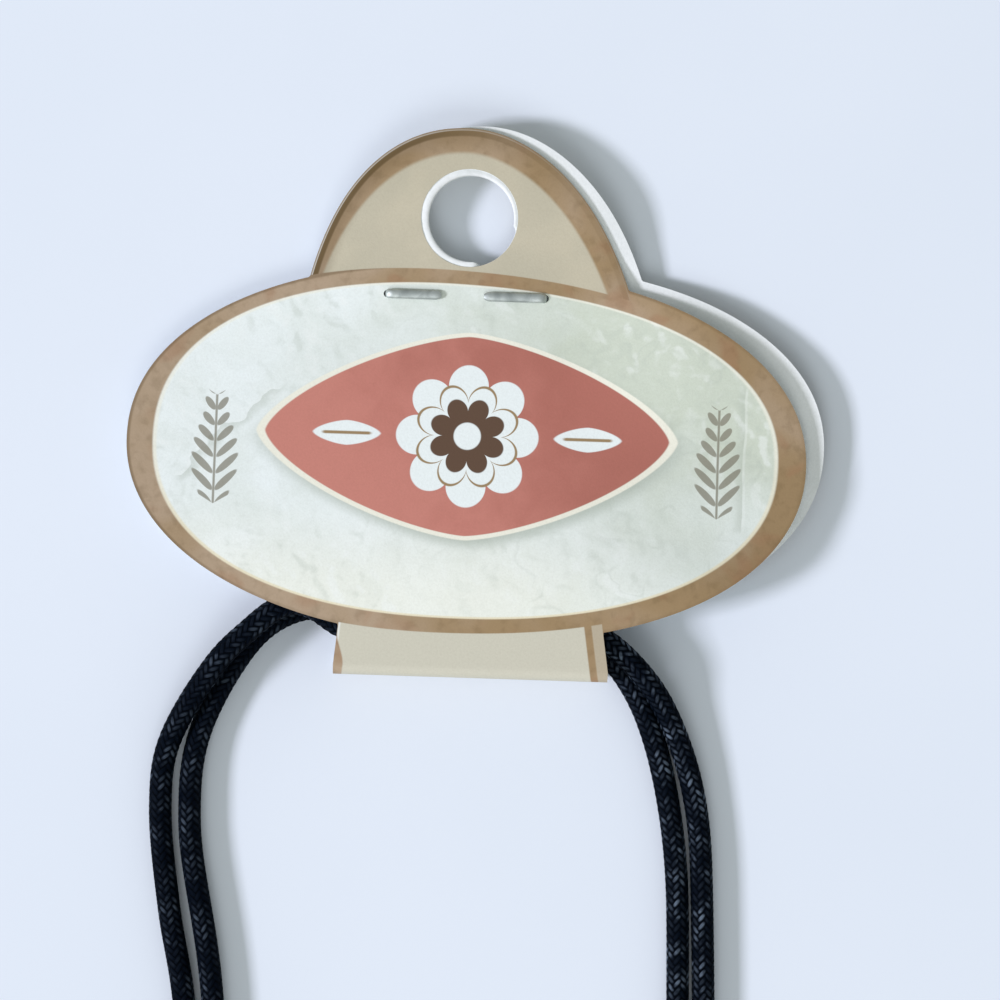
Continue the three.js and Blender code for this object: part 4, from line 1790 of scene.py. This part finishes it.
@dataclass
class CrossPendant:
    """The plain cast Latin cross with the barrel bail that is soldered across its top."""

    u: float = 0.7
    bail_v: float = -102.2
    bail_rise: float = 2.2
    bail_length: float = 4.0
    bail_radius: float = 2.2
    bore_radius: float = 1.35
    bail_edge: float = 0.36
    bail_steps: int = 6
    height: float = 28.0
    width: float = 20.0
    arm: float = 5.2
    bar_drop: float = 9.4
    thickness: float = 2.4
    edge: float = 0.55
    edge_steps: int = 5
    into_bail: float = 0.6

    def _cross(self) -> bpy.types.Mesh:
        """Casts the cross with rounded edges.

        Returns:
            Its mesh, with its top at the origin and its back on the surface.
        """
        side, half = self.arm / 2, self.width / 2
        top, foot = side - self.bar_drop, -side - self.bar_drop
        right = [(side, 0.0), (side, top), (half, top), (half, foot), (side, foot), (side, -self.height)]
        outline = [(-u, v) for u, v in right] + right[::-1]
        shape = bmesh.new()
        face = shape.faces.new([shape.verts.new((u * MM, v * MM, 0.0)) for u, v in outline])
        solid = bmesh.ops.extrude_face_region(shape, geom=[face])
        lifted = [item for item in solid["geom"] if isinstance(item, bmesh.types.BMVert)]
        bmesh.ops.translate(shape, verts=lifted, vec=(0, 0, self.thickness * MM))
        bmesh.ops.recalc_face_normals(shape, faces=shape.faces[:])
        bmesh.ops.bevel(
            shape, geom=shape.edges[:], offset=self.edge * MM, segments=self.edge_steps, profile=0.5,
            affect="EDGES", clamp_overlap=True,
        )
        mesh = bpy.data.meshes.new("cast_cross")
        shape.to_mesh(mesh)
        shape.free()
        return mesh

    def _bail(self, lathe: Lathe) -> bpy.types.Mesh:
        """Turns the bail's ring with softly rounded mouths.

        Args:
            lathe: what turns it.

        Returns:
            Its mesh, about the origin.
        """
        half, bore, outer = self.bail_length / 2, self.bore_radius, self.bail_radius
        corners = [(bore, 0.0), (bore, -half), (outer, -half), (outer, half), (bore, half), (bore, 0.0)]
        return lathe.turned("bail", rounded_way(corners, self.bail_edge, self.bail_steps))

    def build(self, place: CardPlace, lathe: Lathe, finish: bpy.types.Material) -> bpy.types.Object:
        """Joins the cross and its bail into one casting.

        Args:
            place: where the card is.
            lathe: what turns the bail.
            finish: the cast metal.

        Returns:
            The pendant.
        """
        top = self.bail_v - self.bail_radius + self.into_bail
        cross_mesh = put_at(self._cross(), place.point(self.u, top, 0.0))
        bail_mesh = put_at(self._bail(lathe), place.point(self.u, self.bail_v, self.bail_rise))
        cross = new_piece("cross_blank", cross_mesh, finish)
        bail = new_piece("bail_blank", bail_mesh, finish)
        solder = cross.modifiers.new("solder", "BOOLEAN")
        solder.operation = "UNION"
        solder.solver = "EXACT"
        solder.object = bail
        joined = evaluated(cross)
        cross.modifiers.remove(solder)
        bpy.data.objects.remove(cross)
        bpy.data.objects.remove(bail)
        smooth_sides(joined, lathe.sharp_degrees)
        return settle(new_piece("cast_cross_pendant", joined, finish), "cross_pendant")


@dataclass(frozen=True)
class Lamp:
    """A soft square lamp that looks at the card."""

    name: str
    watts: float
    size: float
    rise_degrees: float
    turn_degrees: float
    colour: tuple[float, float, float]
    distance: float = 3000.0

    def build(self, target: Vector) -> None:
        """Hangs the lamp at its angle above the floor and round from +X.

        Args:
            target: what it looks at.
        """
        data = bpy.data.lights.new(self.name, "AREA")
        data.energy = self.watts
        data.size = self.size * MM
        data.color = self.colour
        lamp = bpy.data.objects.new(self.name, data)
        rise, turn = math.radians(self.rise_degrees), math.radians(self.turn_degrees)
        arm = Vector((math.cos(turn) * math.cos(rise), math.sin(turn) * math.cos(rise), math.sin(rise)))
        lamp.location = target + arm * (self.distance * MM)
        lamp.rotation_euler = arm.to_track_quat("Z", "Y").to_euler()
        bpy.context.scene.collection.objects.link(lamp)


@dataclass
class Studio:
    """The pale floor, the soft light from the left and the camera straight above."""

    aim: tuple[float, float, float] = (2.686, -3.636, 3.5)
    roll: float = 0.0324
    distance: float = 320.0
    seen_width: float = 77.0
    sensor: float = 36.0
    floor_half: float = 1600.0
    floor_drop: float = 0.16
    floor_colour: Colour = shade(229, 236, 246)
    floor_cloud: Colour = shade(221, 229, 240)
    floor_clouds_per_metre: float = 30.0
    floor_roughness: float = 0.9
    floor_specular: float = 0.12
    sky: Colour = (0.95, 1.0, 0.97, 1.0)
    sky_strength: float = 0.42
    lamps: tuple[Lamp, ...] = (
        Lamp("window", 73.0, 500.0, rise_degrees=33.0, turn_degrees=193.0, colour=(0.96, 0.95, 1.06)),
        Lamp("fill", 18.0, 1500.0, rise_degrees=50.0, turn_degrees=262.0, colour=(0.98, 1.0, 1.0)),
    )

    def build(self, place: CardPlace) -> None:
        """Sets up the camera, the floor and the light.

        Args:
            place: where the card is.
        """
        target = place.point(*self.aim)
        self._camera(target)
        self._floor()
        self._sky()
        for lamp in self.lamps:
            lamp.build(target)

    def _camera(self, target: Vector) -> None:
        """Hangs the camera over the card, turned so that the card leans as it lies.

        Args:
            target: the middle of its view.
        """
        data = bpy.data.cameras.new("camera")
        data.sensor_width = self.sensor
        data.lens = self.sensor * self.distance / self.seen_width
        camera = bpy.data.objects.new("camera", data)
        camera.location = target + Vector((0, 0, self.distance * MM))
        camera.rotation_euler = (0.0, 0.0, self.roll)
        bpy.context.scene.collection.objects.link(camera)
        bpy.context.scene.camera = camera

    def _floor(self) -> None:
        """Lays the floor just under the part."""
        half, drop = self.floor_half * MM, -self.floor_drop * MM
        mesh = bpy.data.meshes.new("floor")
        corners = [(-half, -half, drop), (half, -half, drop), (half, half, drop), (-half, half, drop)]
        mesh.from_pydata(corners, [], [(0, 1, 2, 3)])
        material, sketch, shader = new_material("pale_table")
        clouds = sketch.noise(sketch.object_place(), self.floor_clouds_per_metre, 3.0)
        tone = sketch.mix(sketch.ramp(clouds, 0.3, 0.7) * 0.25, self.floor_colour, self.floor_cloud)
        sketch.feed(shader.inputs["Base Color"], tone)
        shader.inputs["Roughness"].default_value = self.floor_roughness
        shader.inputs["Specular IOR Level"].default_value = self.floor_specular
        new_piece("floor", mesh, material)

    def _sky(self) -> None:
        """Surrounds the part with an even pale sky, and shows colours as they are."""
        world = bpy.data.worlds.new("studio")
        world.use_nodes = True
        sky = world.node_tree.nodes["Background"]
        sky.inputs["Color"].default_value = self.sky
        sky.inputs["Strength"].default_value = self.sky_strength
        bpy.context.scene.world = world
        bpy.context.scene.view_settings.view_transform = "Standard"


def main() -> None:
    """Builds the studio, the cord and the other pieces in order."""
    logging.basicConfig(level=logging.INFO, format="%(name)s: %(message)s")
    groups = SharedGroups(board_fibre_group(), handled_metal_group())
    wire, turned, cast = (metal.value.material(groups) for metal in (Metal.WIRE, Metal.TURNED, Metal.CAST))
    card, clasp, cord = HangCard(), CordClasp(), BraidedCord()
    place = CardPlace.from_frame(clasp)
    Studio().build(place)
    braid, lathe = TwillBraid(), Lathe()
    bar = LaidBar(braid)
    cord.build(place, bar, WaxedBraid().material(braid, cord.carriers))
    card.build(place, BoardPrint().material(card, groups), BareBoard().material(groups))
    Staple().build(card, place, bar, wire)
    clasp.build(place, lathe, turned)
    CrossPendant().build(place, lathe, cast)


if __name__ == "__main__":
    main()
